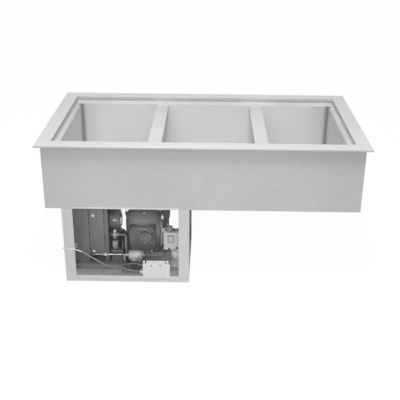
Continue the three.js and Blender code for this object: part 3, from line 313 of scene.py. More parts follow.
def brushed(name, dark, light, roughness, metallic, stretch, bands=()):
    material, tree, shader, where = surface(name, grey(light), roughness, metallic)
    grain = noise(tree, where, 60, 4, stretch)
    cloud = noise(tree, where, 3.0, 2)
    paint(tree, shader, banded(tree, where, shades(tree, cloud, grey(dark), grey(light)), bands))
    dull(tree, shader, spread(tree, grain, roughness - 0.07, roughness + 0.09))
    relief(tree, shader, grain, 0.12, 0.0003)
    return material


FLANGE_TOP = frame_top("top_flange")
# Painted shade: below the top, the turned-down outer lip and the return inside the opening are painted darker
# than the top face.
flange_steel = brushed("brushed_flange_steel", 0.77, 0.8, 0.45, 0.25, (0.12, 14, 14), [
    ("Z", FLANGE_TOP - 0.0016, FLANGE_TOP - 0.0006, 0.8, 1)])
refine("top_flange", flange_steel, "stainless", 0.0006)

# Breaker strips: four lengths of pale extruded plastic, mitred at the corners, that keep the cold
# liner off the warm flange. A groove is left between them and the flange.


def painted(name, dark, light, roughness, metallic, cloud, matt=None, bumps=None, bands=()):
    """A finish whose grey wanders between two shades. cloud, matt and bumps open with the scale and
    detail of a noise; matt goes on with a range of roughness, bumps with a strength and a depth."""
    material, tree, shader, where = surface(name, grey(light), roughness, metallic)
    color = shades(tree, noise(tree, where, *cloud), grey(dark), grey(light))
    paint(tree, shader, banded(tree, where, color, bands))
    if matt:
        dull(tree, shader, spread(tree, noise(tree, where, *matt[:2]), *matt[2:]))
    if bumps:
        relief(tree, shader, noise(tree, where, *bumps[:2]), *bumps[2:])
    return material


breaker_plastic = painted("breaker_plastic", 0.75, 0.8, 0.5, 0, (9, 3), bumps=(900, 2, 0.08, 0.0002))
for side in ("front", "back", "left", "right"):
    refine("breaker_" + side, breaker_plastic, "breaker_plastic", 0.0005)

# Liner: a tub drawn and welded from thin stainless sheet, with rounded corners, a coved floor and a
# lip turned out at the top. The drain goes through its floor.
LINER_SHEET, LINER_LIP = 0.0012, 0.0077
LINER_CORNER, LINER_COVE = 0.02, 0.012
liner_low, liner_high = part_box("well_liner")
LINER_HALF = (liner_high.x - LINER_LIP, liner_high.y - LINER_LIP)
LINER_FLOOR, LINER_TOP = liner_low.z + LINER_SHEET, liner_high.z


def centre_of(node):
    low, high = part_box(node)
    return (low + high) / 2


def deselect_all(piece, kind):
    take(piece)
    bpy.ops.object.mode_set(mode="EDIT")
    bpy.ops.mesh.select_mode(type=kind)
    bpy.ops.mesh.select_all(action="DESELECT")
    leave_edit()


def select_edges(piece, chosen):
    deselect_all(piece, "EDGE")
    points = [v.co for v in piece.data.vertices]
    for edge in piece.data.edges:
        edge.select = chosen(points[edge.vertices[0]], points[edge.vertices[1]])
    bpy.ops.object.mode_set(mode="EDIT")


def select_faces(piece, chosen):
    deselect_all(piece, "FACE")
    for face in piece.data.polygons:
        face.select = chosen(face.center, face.normal)
    bpy.ops.object.mode_set(mode="EDIT")


def box(name, low, high):
    size = [b - a for a, b in zip(low, high)]
    middle = [(a + b) / 2 for a, b in zip(low, high)]
    clear_selection()
    bpy.ops.mesh.primitive_cube_add(size=1, location=middle)
    piece = bpy.context.object
    piece.name = name
    piece.scale = size
    bpy.ops.object.transform_apply(location=True, rotation=True, scale=True)
    return piece


def face_outward(piece):
    edit_all(piece)
    bpy.ops.mesh.normals_make_consistent(inside=False)
    leave_edit()


def cut_away(piece, tool):
    take(piece)
    cutter = piece.modifiers.new("cut", "BOOLEAN")
    cutter.operation = "DIFFERENCE"
    cutter.solver = "EXACT"
    cutter.object = tool
    bpy.ops.object.modifier_apply(modifier=cutter.name)
    bpy.data.objects.remove(tool)


def cylinder(name, radius, start, end, sides=48):
    """A closed round bar between two points."""
    start, end = Vector(start), Vector(end)
    way = end - start
    clear_selection()
    bpy.ops.mesh.primitive_cylinder_add(vertices=sides, radius=radius, depth=way.length,
                                        location=(start + end) / 2,
                                        rotation=way.to_track_quat("Z", "Y").to_euler())
    piece = bpy.context.object
    piece.name = name
    bpy.ops.object.transform_apply(location=True, rotation=True, scale=True)
    return piece


def multiplied(tree, first, second):
    product = tree.nodes.new("ShaderNodeMath")
    product.operation = "MULTIPLY"
    tree.links.new(first, product.inputs[0])
    tree.links.new(second, product.inputs[1])
    return product.outputs[0]


DRAIN_PLACE = centre_of("drain_tailpiece").xy
liner = box("well_liner_finished", (-LINER_HALF[0], -LINER_HALF[1], LINER_FLOOR),
            (LINER_HALF[0], LINER_HALF[1], LINER_TOP))
select_edges(liner, lambda a, b: abs(a.z - b.z) > 0.1)
bpy.ops.mesh.bevel(offset=LINER_CORNER, segments=8)
leave_edit()
select_edges(liner, lambda a, b: a.z < LINER_FLOOR + 1e-4 and b.z < LINER_FLOOR + 1e-4)
bpy.ops.mesh.bevel(offset=LINER_COVE, segments=5)
leave_edit()
select_faces(liner, lambda centre, normal: centre.z > LINER_TOP - 1e-4 and normal.z > 0.9)
bpy.ops.mesh.delete(type="FACE")
leave_edit()
select_edges(liner, lambda a, b: a.z > LINER_TOP - 1e-4 and b.z > LINER_TOP - 1e-4)
bpy.ops.mesh.extrude_region_move()
leave_edit()
for vertex in liner.data.vertices:
    if vertex.select:
        over = [abs(v) - (half - LINER_CORNER) for v, half in zip(vertex.co.xy, LINER_HALF)]
        reach = (LINER_CORNER + LINER_LIP) / max(over)
        for axis in (0, 1):
            if over[axis] > 0:
                inner = LINER_HALF[axis] - LINER_CORNER
                vertex.co[axis] = math.copysign(inner + over[axis] * reach, vertex.co[axis])
edit_all(liner)
bpy.ops.mesh.normals_make_consistent(inside=True)
leave_edit()
wall = liner.modifiers.new("sheet", "SOLIDIFY")
wall.thickness = LINER_SHEET
wall.offset = 1
wall.use_even_offset = True
apply_modifiers(liner)
cut_away(liner, cylinder("drain_hole", 0.0163, (*DRAIN_PLACE, 0.31), (*DRAIN_PLACE, 0.34), 64))
smooth(liner, 40)
liner_steel, tree, shader, where = surface("satin_liner_steel", grey(0.8), 0.45, 0.2)
grain = noise(tree, where, 60, 4, (10, 10, 0.15))
dull(tree, shader, spread(tree, grain, 0.38, 0.54))
relief(tree, shader, grain, 0.12, 0.0003)
distance = tree.nodes.new("ShaderNodeVectorMath")
distance.operation = "ABSOLUTE"
tree.links.new(where, distance.inputs[0])
away = distance.outputs[0]
# Painted shade: the walls darken toward their four upright corners, in a narrow band at each corner (corner)
# over a wider falloff along the front and back walls near the ends (cloud).
corner = multiplied(tree, along_axis(tree, away, "X", 0.486, 0.498),
                    along_axis(tree, away, "Y", 0.234, 0.246))
cloud = multiplied(tree, along_axis(tree, away, "X", 0.42, 0.5), along_axis(tree, away, "Y", 0.24, 0.25))
color = shades(tree, noise(tree, where, 3.0, 2), grey(0.77), grey(0.81))
color = tinted(tree, color, spread(tree, cloud, 1, 0.8))
paint(tree, shader, tinted(tree, color, spread(tree, corner, 1, 0.45)))
dress(liner, liner_steel, "liner_steel", "well_liner")

# Evaporator tube: soft copper, wound round the outside of the liner and held there by the foam. Only
# its two tails come out.
copper = painted("dull_tube", 0.56, 0.72, 0.34, 0.75, (24, 3), matt=(60, 3, 0.24, 0.46))


def coat(node, material):
    """A finish on a node that keeps its own solid."""
    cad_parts[node].data.materials.clear()
    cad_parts[node].data.materials.append(material)


coat("evaporator_coil", copper)

# Insulation: rigid foam, poured in between the liner and the casing, where it sets and holds the two
# together.
foam, tree, shader, where = surface("rigid_foam", (0.75, 0.69, 0.47), 0.9, 0)
paint(tree, shader, shades(tree, noise(tree, where, 40, 4), (0.70, 0.63, 0.42), (0.78, 0.73, 0.52)))
relief(tree, shader, noise(tree, where, 300, 3), 0.3, 0.001)
coat("insulation", foam)

# Casing: galvanised sheet. The front and back panels lap over the side panels' folded edges, with a
# hemmed lower edge at the front, and rivets hold the floor tray and the back.


def galvanised_sheet(name, dark, light, metallic=0.25, bands=()):
    """Zinc-coated sheet: faint crystals of half a centimetre or so, with a weak cloud over them."""
    material, tree, shader, where = surface(name, grey(light), 0.42, metallic)
    crystals = tree.nodes.new("ShaderNodeTexVoronoi")
    crystals.inputs["Scale"].default_value = 150
    tree.links.new(where, crystals.inputs["Vector"])
    flat = tree.nodes.new("ShaderNodeSeparateColor")
    tree.links.new(crystals.outputs["Color"], flat.inputs["Color"])
    stain = noise(tree, where, 2.4, 3)
    both = tree.nodes.new("ShaderNodeMath")
    both.operation = "MULTIPLY_ADD"
    both.inputs[1].default_value = 0.2
    tree.links.new(flat.outputs[0], both.inputs[0])
    tree.links.new(stain, both.inputs[2])
    color = shades(tree, both.outputs[0], grey(dark), grey(light), 0.4, 0.9)
    paint(tree, shader, banded(tree, where, color, bands))
    dull(tree, shader, spread(tree, flat.outputs[1], 0.36, 0.5))
    relief(tree, shader, noise(tree, where, 5, 2), 0.03, 0.002)
    return material


galvanised = galvanised_sheet("galvanised_sheet", 0.68, 0.73)
for panel in ("front", "back", "left", "right", "bottom"):
    refine("casing_" + panel, galvanised, "galvanised", 0.0004)
bright = painted("bright_fixings", 0.8, 0.92, 0.25, 0.8, (90, 3))


def join_pieces(name, pieces):
    clear_selection()
    for piece in pieces:
        piece.select_set(True)
    bpy.context.view_layer.objects.active = pieces[0]
    bpy.ops.object.join()
    bpy.context.object.name = name
    return bpy.context.object


def dome(name, radius, height, place, way, segments=14):
    """A low rivet head that stands on a face; way is the face's outward direction."""
    clear_selection()
    bpy.ops.mesh.primitive_uv_sphere_add(segments=segments, ring_count=8, radius=radius, location=(0, 0, 0))
    head = bpy.context.object
    edit_all(head)
    bpy.ops.mesh.bisect(plane_co=(0, 0, 0), plane_no=(0, 0, 1), clear_inner=True, use_fill=True)
    leave_edit()
    head.scale = (1, 1, height / radius)
    head.rotation_euler = Vector(way).to_track_quat("Z", "Y").to_euler()
    head.location = place
    bpy.ops.object.transform_apply(location=True, rotation=True, scale=True)
    smooth(head, 50)
    head.name = name
    return head


RIVET, RIVET_PITCH = (0.0026, 0.0012), 0.095
rivets = []
for side in (-1, 1):
    for height in (0.302, 0.36, 0.42, 0.48, 0.522):
        rivets.append(dome("rivet", *RIVET, (side * 0.5445, 0.306, height), (0, 1, 0)))
    for step in range(-3, 4):
        rivets.append(dome("rivet", *RIVET, (side * 0.5525, step * RIVET_PITCH, 0.3005), (side, 0, 0)))
dress(join_pieces("casing_rivets", rivets), bright, "bright_steel")
# Painted highlight: the hem is a lighter zinc than the panels, for the bright line along the casing's lower
# front edge.
hem = round_edges(box("casing_hem", (-0.4578, -0.3067, 0.2935), (-0.0842, -0.3058, 0.2988)), 0.0004)
dress(hem, galvanised_sheet("hem_zinc", 0.76, 0.81), "galvanised")

# Adapter bars: stainless channels, folded down along both sides, that carry the pans' edges. Each
# end is cranked up to a narrower tab, which rests loose on the ledge.
bar_steel = brushed("brushed_bar_steel", 0.76, 0.81, 0.5, 0.3, (14, 0.12, 14))
for side in ("left", "right"):
    refine("adapter_bar_" + side, bar_steel, "stainless", 0.0005, 2, 20, "bar_" + side)

# Drain: a turned brass tailpiece with a flange in the well and a locknut under the casing, and a
# loose pressed strainer that lifts out by its stud.


def spun(name, outline, place, axis="Z", steps=48):
    """A turned piece. outline is (radius, height) from one end of the axis to the other."""
    mesh = bpy.data.meshes.new(name)
    rows = [(r, 0, h) for r, h in outline]
    mesh.from_pydata(rows, [(i, i + 1) for i in range(len(rows) - 1)], [])
    piece = linked(name, mesh)
    edit_all(piece)
    bpy.ops.mesh.spin(steps=steps, angle=2 * math.pi, center=(0, 0, 0), axis=(0, 0, 1))
    bpy.ops.mesh.select_all(action="SELECT")
    bpy.ops.mesh.remove_doubles(threshold=1e-6)
    bpy.ops.mesh.dissolve_degenerate(threshold=1e-7)
    bpy.ops.mesh.normals_make_consistent(inside=False)
    leave_edit()
    if axis == "X":
        piece.data.transform(Matrix.Rotation(math.pi / 2, 4, "Y"))
    if axis == "Y":
        piece.data.transform(Matrix.Rotation(-math.pi / 2, 4, "X"))
    piece.data.transform(Matrix.Translation(place))
    smooth(piece, 32)
    return piece


brass = painted("dull_brass", 0.6, 0.76, 0.35, 0.7, (30, 3))
THREAD_START, THREAD_PITCH = 0.244, 0.0027
thread = [(0.013, 0.243)]
for turn in range(14):
    crest = THREAD_START + turn * THREAD_PITCH
    thread += [(0.0158, crest), (0.0148, crest + THREAD_PITCH / 2)]
thread += [(0.0158, 0.283), (0.0158, 0.3253), (0.0275, 0.3253), (0.028, 0.3258), (0.0278, 0.327),
           (0.026, 0.3275), (0.0165, 0.3274), (0.013, 0.326), (0.013, 0.243)]
dress(spun("drain_tailpiece_finished", thread, (*DRAIN_PLACE, 0)), brass, "brass", "drain_tailpiece")
refine("drain_locknut", brass, "brass", 0.0012, 3)
refine("drain_strainer", bar_steel, "stainless", 0.0003, body="strainer")

# Frame: angle legs and formed rails of galvanised steel, flush and welded at the front corners and
# bolted at the back, with a folded pan that lies on the rails' feet.
FRAME_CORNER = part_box("leg_front_left")[0]
FRAME_SIZE = Vector((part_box("leg_front_right")[1].x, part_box("leg_back_left")[1].y,
                     frame_top("leg_front_left"))) - FRAME_CORNER


def across(share):
    """A place at this share of the frame's width, as inward is for its depth and upward for its height."""
    return FRAME_CORNER.x + share * FRAME_SIZE.x


def inward(share):
    return FRAME_CORNER.y + share * FRAME_SIZE.y


def upward(share):
    return FRAME_CORNER.z + share * FRAME_SIZE.z


frame_steel = galvanised_sheet("galvanised_frame", 0.72, 0.77)
for corner in ("front_left", "front_right", "back_left", "back_right"):
    refine("leg_" + corner, frame_steel, "galvanised", 0.0003)
RAIL_TOP = frame_top("rail_front")
# Painted light on the rails: a painted highlight lightens the upper strip of the front face, and painted
# shade darkens the top face.
rail_steel = galvanised_sheet("galvanised_rail", 0.71, 0.76, 0.25, [
    ("Z", RAIL_TOP - 0.009, RAIL_TOP - 0.0075, 1, 1.1),
    ("Z", RAIL_TOP - 0.0008, RAIL_TOP - 0.0002, 1, 0.6)])
for side in ("front", "back", "left", "right"):
    refine("rail_" + side, rail_steel, "galvanised", 0.0003)
# Painted shade: the pan is darker toward the front rail. Its colour is also lighter right of x = -0.11.
pan_paint = painted("dark_pan", 0.58, 0.66, 0.55, 0.1, (8, 5), bumps=(200, 3, 0.08, 0.0005), bands=[
    ("Y", -0.31, -0.22, 0.7, 1), ("X", -0.13, -0.11, 1, 1.45)])
refine("base_pan", pan_paint, "pan_steel", 0.0004)


def hex_bolt(name, place, way, width=0.005, height=0.0035):
    """A hexagon head on its round washer face; way is the outward direction."""
    way = Vector(way)
    place = Vector(place)
    washer = cylinder(name, width * 1.25, place, place + way * 0.0009, 24)
    head = cylinder(name, width, place + way * 0.0008, place + way * height, 6)
    return join_pieces(name, [round_edges(washer, 0.0003), round_edges(head, 0.0006)])


bolts = []
for x in (-0.483, -0.059):
    for z in (0.0125, 0.278):
        bolts.append(hex_bolt("frame_bolt", (x, 0.056, z), (0, 1, 0), 0.0045, 0.003))
dress(join_pieces("frame_bolts", bolts), bright, "bright_steel")

# Unit base: a folded tray of dark painted steel, turned upside down, that stands in the base pan and
# carries the whole condensing unit.
base_paint, tree, shader, where = surface("unit_base_paint", grey(0.55), 0.5, 0.1)
# Painted light: the top face is painted lighter than the front face. The base is also much lighter right of x
# = -0.12.
color = shades(tree, along_axis(tree, where, "Z", 0.0166, 0.0178), grey(0.52), grey(0.56), 0, 1)
paint(tree, shader, banded(tree, where, color, [("X", -0.13, -0.12, 1, 1.7)]))
dull(tree, shader, spread(tree, noise(tree, where, 50, 3), 0.42, 0.6))
refine("unit_base", base_paint, "dark_steel", 0.0012, 3)

# Condenser: rows of tube through a pack of thin fins between two end plates, joined at the ends by bends
# that stand out of the plates. A folded dark cover hides the front bends.
FIN_X = (-0.484, -0.422)
FIN_Y = (-0.186, 0.036)
FIN_Z = (0.0183, 0.28)


def bent_path(points, bend, steps=6):
    """Points along straight runs joined by round bends."""
    points = [Vector(p) for p in points]
    path = [points[0]]
    for before, corner, after in zip(points, points[1:], points[2:]):
        to, away = (corner - before).normalized(), (after - corner).normalized()
        angle = to.angle(away)
        half = math.tan(angle / 2)
        room = min((corner - before).length, (after - corner).length) / 2
        radius = min(bend, room * 0.92 / half)
        start = corner - to * radius * half
        side = (away - to * math.cos(angle)).normalized()
        for step in range(steps + 1):
            part = angle * step / steps
            path.append(start + to * radius * math.sin(part) + side * radius * (1 - math.cos(part)))
    path.append(points[-1])
    return path


def tube(name, points, radius, bend=0.014, sides=4):
    """A round tube or lead along a bent path, closed at both ends."""
    path = bent_path(points, bend)
    curve = bpy.data.curves.new(name, "CURVE")
    curve.dimensions = "3D"
    curve.bevel_depth = radius
    curve.bevel_resolution = sides
    curve.use_fill_caps = True
    line = curve.splines.new("POLY")
    line.points.add(len(path) - 1)
    for point, place in zip(line.points, path):
        point.co = (*place, 1)
    take(linked(name, curve))
    bpy.ops.object.convert(target="MESH")
    piece = bpy.context.object
    edit_all(piece)
    bpy.ops.mesh.remove_doubles(threshold=1e-6)
    bpy.ops.mesh.normals_make_consistent(inside=False)
    leave_edit()
    smooth(piece, 40)
    return piece


def copy_of(piece, offset):
    twin = linked(piece.name, piece.data.copy())
    twin.data.transform(Matrix.Translation(offset))
    return twin


fin = box("condenser_fins", (FIN_X[0] + 0.001, FIN_Y[0] + 0.006, FIN_Z[0] + 0.003),
          (FIN_X[1] - 0.001, FIN_Y[0] + 0.0063, FIN_Z[1] - 0.003))
FIN_COUNT, FIN_PITCH = 75, 0.0028
fins = [copy_of(fin, (0, step * FIN_PITCH, 0)) for step in range(1, FIN_COUNT)]
fin_metal = painted("dusty_fins", 0.43, 0.56, 0.6, 0.2, (60, 3))
dress(join_pieces("condenser_fins", [fin] + fins), fin_metal, "fin_pack", "condenser_coil")
plates = []
for y in (FIN_Y[0], FIN_Y[1] - 0.0015):
    plates.append(box("condenser_plate", (FIN_X[0], y, FIN_Z[0]), (FIN_X[1], y + 0.0015, FIN_Z[1])))
for z in (FIN_Z[0], FIN_Z[1] - 0.0015):
    plates.append(box("condenser_plate", (FIN_X[0], FIN_Y[0], z), (FIN_X[1], FIN_Y[1], z + 0.0015)))
end_plates = round_edges(join_pieces("condenser_end_plates", plates), 0.0003)
dress(end_plates, fin_metal, "dark_steel")
dark_tube = painted("dark_tube", 0.43, 0.5, 0.6, 0.1, (30, 3))
TUBE_ROWS, BEND_HALF = 9, 0.0095
bends = []
pitch = (FIN_Z[1] - FIN_Z[0]) / TUBE_ROWS
for row in range(TUBE_ROWS):
    low = FIN_Z[0] + (row + 0.5) * pitch - BEND_HALF
    for x, lean in ((-0.4675, 0.011), (-0.4385, 0.0)):
        start, end = (x, low), (x + lean, low + 2 * BEND_HALF)
        if row == TUBE_ROWS - 1 and lean:
            continue
        for y, way in ((FIN_Y[0], -1), (FIN_Y[1], 1)):
            inside, outside = y - way * 0.004, y + way * BEND_HALF
            path = [(start[0], inside, start[1]), (start[0], outside, start[1]),
                    (end[0], outside, end[1]), (end[0], inside, end[1])]
            bends.append(tube("condenser_bend", path, 0.0038, 0.008, 2))
dress(join_pieces("condenser_bends", bends), dark_tube, "copper_tube")
END_SHEET, END_DEPTH = 0.0008, 0.0142
end_cover = box("condenser_end_cover", (-0.4838, -0.2014, 0.0186), (-0.4222, -0.1862, 0.279))
select_faces(end_cover, lambda centre, normal: normal.y > 0.9)
bpy.ops.mesh.inset(thickness=END_SHEET)
bpy.ops.mesh.extrude_region_move(TRANSFORM_OT_translate={"value": (0, -END_DEPTH, 0)})
leave_edit()
face_outward(end_cover)
round_edges(end_cover, 0.0002)
cover_paint = painted("end_cover_paint", 0.45, 0.53, 0.5, 0.1, (12, 3), matt=(50, 3, 0.42, 0.6))
dress(end_cover, cover_paint, "dark_steel")

# Fan shroud: a pressed hood of grey painted sheet, screwed to the condenser's side, with a rolled
# throat round the fan.
FAN_PLACE = centre_of("fan_motor").yz
shroud_paint = painted("grey_shroud_paint", 0.455, 0.53, 0.48, 0.15, (12, 4), bumps=(420, 2, 0.1, 0.0004))
refine("fan_shroud", shroud_paint, "shroud_grey", 0.0006)
clear_selection()
bpy.ops.mesh.primitive_torus_add(location=(-0.3676, *FAN_PLACE), rotation=(0, math.pi / 2, 0),
                                 major_radius=0.0835, minor_radius=0.0016, major_segments=72,
                                 minor_segments=10)
roll = bpy.context.object
roll.name = "shroud_rolled_edge"
bpy.ops.object.transform_apply(location=True, rotation=True, scale=True)
smooth(roll, 60)
dress(roll, shroud_paint, "shroud_grey")
white_zinc = painted("white_zinc", 0.92, 0.98, 0.35, 0.15, (150, 2))
screws = []
for x, z, radius in ((-0.4057, 0.2137, 0.0052), (-0.4078, 0.0651, 0.0042)):
    for y, way in ((-0.195, -1), (0.045, 1)):
        washer = cylinder("shroud_screw", radius * 1.15, (x, y, z), (x, y + way * 0.001, z), 28)
        screws.append(round_edges(washer, 0.0003))
        screws.append(dome("shroud_screw", radius, radius * 0.6, (x, y + way * 0.0009, z), (0, way, 0), 20))
dress(join_pieces("shroud_screws", screws), white_zinc, "bright_steel")

# Motor bracket: a flat steel spider that carries the motor in front of the fan, with a screw at the
# end of each arm, and a folded stay under the motor that is screwed to the unit base.
dark_paint = painted("dark_paint", 0.41, 0.51, 0.45, 0.1, (14, 4), matt=(50, 3, 0.36, 0.56),
                     bumps=(380, 2, 0.12, 0.0004))
refine("fan_motor_bracket", dark_paint, "dark_steel", 0.0004)


def ring(count, radius, centre, start=0.0):
    """Places evenly spread over a circle."""
    angles = [start + turn * 2 * math.pi / count for turn in range(count)]
    return [(centre[0] + radius * math.cos(angle), centre[1] + radius * math.sin(angle)) for angle in angles]


screws = [hex_bolt("bracket_screw", (-0.3647, y, z), (1, 0, 0), 0.0036, 0.0032)
          for y, z in ring(4, 0.0905, FAN_PLACE, math.pi / 4)]
dress(join_pieces("bracket_screws", screws), bright, "bright_steel")
STAY_FRONT = -0.1905
stay = box("motor_stay", (-0.3625, -0.1015, 0.0183), (-0.2995, -0.1, 0.127))
for vertex in stay.data.vertices:
    if vertex.co.x > -0.31 and vertex.co.z > 0.1:
        vertex.co.z = 0.106
foot = box("motor_stay", (-0.3625, -0.13, 0.0183), (-0.2995, -0.1002, 0.0198))
front_flange = box("motor_stay", (-0.3666, STAY_FRONT, 0.0195), (-0.3508, -0.189, 0.262))
side_flange = box("motor_stay", (-0.3663, -0.1892, 0.0195), (-0.365, -0.1, 0.075))
stay = round_edges(join_pieces("motor_stay", [stay, foot, front_flange, side_flange]), 0.0004)
stay_paint = painted("stay_paint", 0.44, 0.51, 0.5, 0.1, (18, 3))
dress(stay, stay_paint, "dark_steel")
rivets = [dome("stay_rivet", 0.0022, 0.0012, (x, STAY_FRONT, z), (0, -1, 0))
          for x, z in ((-0.3621, 0.2245), (-0.3607, 0.1983), (-0.3616, 0.1797))]
dress(join_pieces("stay_rivets", rivets), shroud_paint, "shroud_grey")

# Fan motor: a small shaded-pole motor. A grey body with shallow pressed rings ends in a narrower
# bearing cap, with four through bolts, and a bright clamp holds its lead. The cap's bright band
# across its middle is a painted reflection, darker above and below.
MOTOR_RADIUS, GROOVE_RADIUS, GROOVE_PITCH = 0.04, 0.0396, 0.005
rows = [(0, -0.3644), (0.034, -0.3644), (0.0365, -0.3638), (0.0396, -0.3605), (MOTOR_RADIUS, -0.358),
        (MOTOR_RADIUS, -0.352)]
for groove in range(6):
    start = -0.351 + groove * GROOVE_PITCH
    rows += [(GROOVE_RADIUS, start + 0.0004), (GROOVE_RADIUS, start + 0.0014),
             (MOTOR_RADIUS, start + 0.002), (MOTOR_RADIUS, start + 0.0046)]
rows += [(MOTOR_RADIUS, -0.3205), (0.0392, -0.3182), (0.0365, -0.3172), (0, -0.3172)]
motor = spun("fan_motor_body", rows, (0, *FAN_PLACE), "X", 64)
motor_paint = painted("motor_paint", 0.55, 0.63, 0.5, 0.15, (20, 3), bumps=(300, 2, 0.1, 0.0004))
dress(motor, motor_paint, "dark_steel", "fan_motor")
bell = spun("fan_motor_bearing_cap", [
    (0, -0.3172), (0.0235, -0.3172), (0.0238, -0.3165), (0.0238, -0.3125), (0.0232, -0.3115),
    (0.0135, -0.3112), (0.013, -0.3106), (0.006, -0.3106), (0.0055, -0.3098), (0, -0.3098)],
    (0, *FAN_PLACE), "X", 64)
cap_metal, tree, shader, where = surface("bearing_cap_metal", grey(0.9), 0.3, 0.2)
# Painted reflection: a bright band across the cap's middle, dark above and below.
band = multiplied(tree, along_axis(tree, where, "Z", 0.13, 0.134), along_axis(tree, where, "Z", 0.165, 0.161))
paint(tree, shader, shades(tree, band, grey(0.42), grey(0.97), 0, 1))
dress(bell, cap_metal, "bright_steel")
bolts = [hex_bolt("motor_bolt", (-0.3173, y, z), (1, 0, 0), 0.0026, 0.0022)
         for y, z in ring(4, 0.031, FAN_PLACE, math.pi / 4)]
dress(join_pieces("motor_bolts", bolts), dark_tube, "dark_steel")
clamp = round_edges(box("motor_lead_clamp", (-0.3435, -0.1262, 0.1575), (-0.3262, -0.119, 0.1642)), 0.0015, 3)
dress(clamp, white_zinc, "bright_steel")

# Fan: five blades pressed from thin aluminium sheet, curved and pitched, and riveted to a hub that sits
# on the motor's shaft.
hub = spun("fan_hub", [(0, -0.3946), (0.011, -0.3946), (0.013, -0.393), (0.013, -0.3722), (0.0105, -0.3715),
                       (0.004, -0.3715), (0.004, -0.3647), (0, -0.3647)], (0, *FAN_PLACE), "X", 40)
BLADES, BLADE_X, BLADE_DEPTH, BLADE_SHEET = 5, -0.3845, 0.0105, 0.0012
BLADE_ROOT, BLADE_REACH, BLADE_SWEEP, CAMBER = 0.011, 0.0645, 0.25, 0.0035
LEAF_ROOT, LEAF_SPREAD = 0.32, 0.752
ROOT_PITCH, PITCH_FALL = 0.62, 0.22
blades = []
for turn in range(BLADES):
    clear_selection()
    bpy.ops.mesh.primitive_grid_add(x_subdivisions=10, y_subdivisions=12, size=1)
    blade = bpy.context.object
    for vertex in blade.data.vertices:
        along, cross = vertex.co.x + 0.5, vertex.co.y
        radius = BLADE_ROOT + along * BLADE_REACH
        width = LEAF_ROOT + LEAF_SPREAD * math.sin(math.pi * (0.12 + 0.62 * along))
        angle = cross * width + BLADE_SWEEP * along
        slope = math.tan(ROOT_PITCH - PITCH_FALL * along)
        x = slope * radius * cross * width + CAMBER * math.cos(math.pi * cross)
        x = max(-BLADE_DEPTH, min(BLADE_DEPTH, x)) + BLADE_X
        vertex.co = (x, radius * math.cos(angle), radius * math.sin(angle))
    thick = blade.modifiers.new("sheet", "SOLIDIFY")
    thick.thickness = BLADE_SHEET
    thick.offset = 0
    apply_modifiers(blade)
    blade.data.transform(Matrix.Rotation(turn * 2 * math.pi / BLADES, 4, "X"))
    blade.data.transform(Matrix.Translation((0, *FAN_PLACE)))
    face_outward(blade)
    smooth(blade, 40)
    blades.append(blade)
fan = join_pieces("fan_blade_finished", [hub] + blades)
blade_metal = brushed("blade_aluminium", 0.7, 0.78, 0.35, 0.7, (1, 1, 1))
dress(fan, blade_metal, "bright_steel", "fan_blade", body="fan")

# Compressor: a welded steel can in two drawn halves, painted black, with a raised seam where the lid
# fits over the lower half. Its foot plate stands on four rubber grommets behind an upright bracket plate.
PUMP_PLACE = (-0.222, -0.125)
can_paint = painted("black_can_paint", 0.53, 0.61, 0.45, 0.05, (12, 4), matt=(34, 3, 0.26, 0.48),
                    bumps=(260, 2, 0.1, 0.0005))
lower = spun("compressor_can_lower", [
    (0, 0.0435), (0.034, 0.0435), (0.056, 0.0465), (0.0615, 0.052), (0.0622, 0.06), (0.0622, 0.187),
    (0.0652, 0.1877), (0.0655, 0.186), (0.0655, 0.058), (0.064, 0.05), (0.059, 0.044), (0.046, 0.0408),
    (0.036, 0.04), (0, 0.04)][::-1], (*PUMP_PLACE, 0), "Z", 96)
dress(lower, can_paint, "dark_steel", "compressor_shell_lower")
upper = spun("compressor_can_upper", [
    (0, 0.227), (0.014, 0.2263), (0.026, 0.2235), (0.036, 0.218), (0.045, 0.211), (0.055, 0.2015),
    (0.0625, 0.1935), (0.063, 0.1885), (0.0678, 0.188), (0.0685, 0.1888), (0.0685, 0.1915), (0.0675, 0.1932),
    (0.0655, 0.1958), (0.0625, 0.1992), (0.0565, 0.2055), (0.0465, 0.2145), (0.037, 0.2213), (0.0265, 0.2265),
    (0.014, 0.2294), (0, 0.23)], (*PUMP_PLACE, 0), "Z", 96)
dress(upper, can_paint, "dark_steel", "compressor_shell_upper")
stub = cylinder("process_stub", 0.0042, (-0.2175, -0.165, 0.2095), (-0.2175, -0.1745, 0.2185), 24)
dress(round_edges(stub, 0.0009), bright, "bright_steel")
wire = tube("lid_wire", [(-0.2876, -0.14, 0.2925), (-0.2876, -0.14, 0.2168), (-0.2912, -0.14, 0.2001),
                         (-0.2885, -0.14, 0.1875), (-0.2835, -0.14, 0.181)], 0.0016, 0.008)
side_tube = tube("can_side_tube", [(-0.2895, -0.13, 0.2), (-0.2865, -0.13, 0.175), (-0.2885, -0.13, 0.16),
                                   (-0.288, -0.13, 0.12)], 0.0035, 0.01)
dress(join_pieces("lid_wire", [wire, side_tube]), dark_tube, "copper_tube")
core_iron = painted("core_iron", 0.5, 0.66, 0.5, 0.6, (50, 3))
coat("compressor_core", core_iron)
refine("compressor_foot", dark_paint, "dark_steel", 0.0008)
front_plate = box("bracket_plate", (-0.2194, -0.2178, 0.0185), (-0.1227, -0.2166, 0.0775))
plate_paint, tree, shader, where = surface("bracket_plate_paint", grey(0.52), 0.5, 0.1)
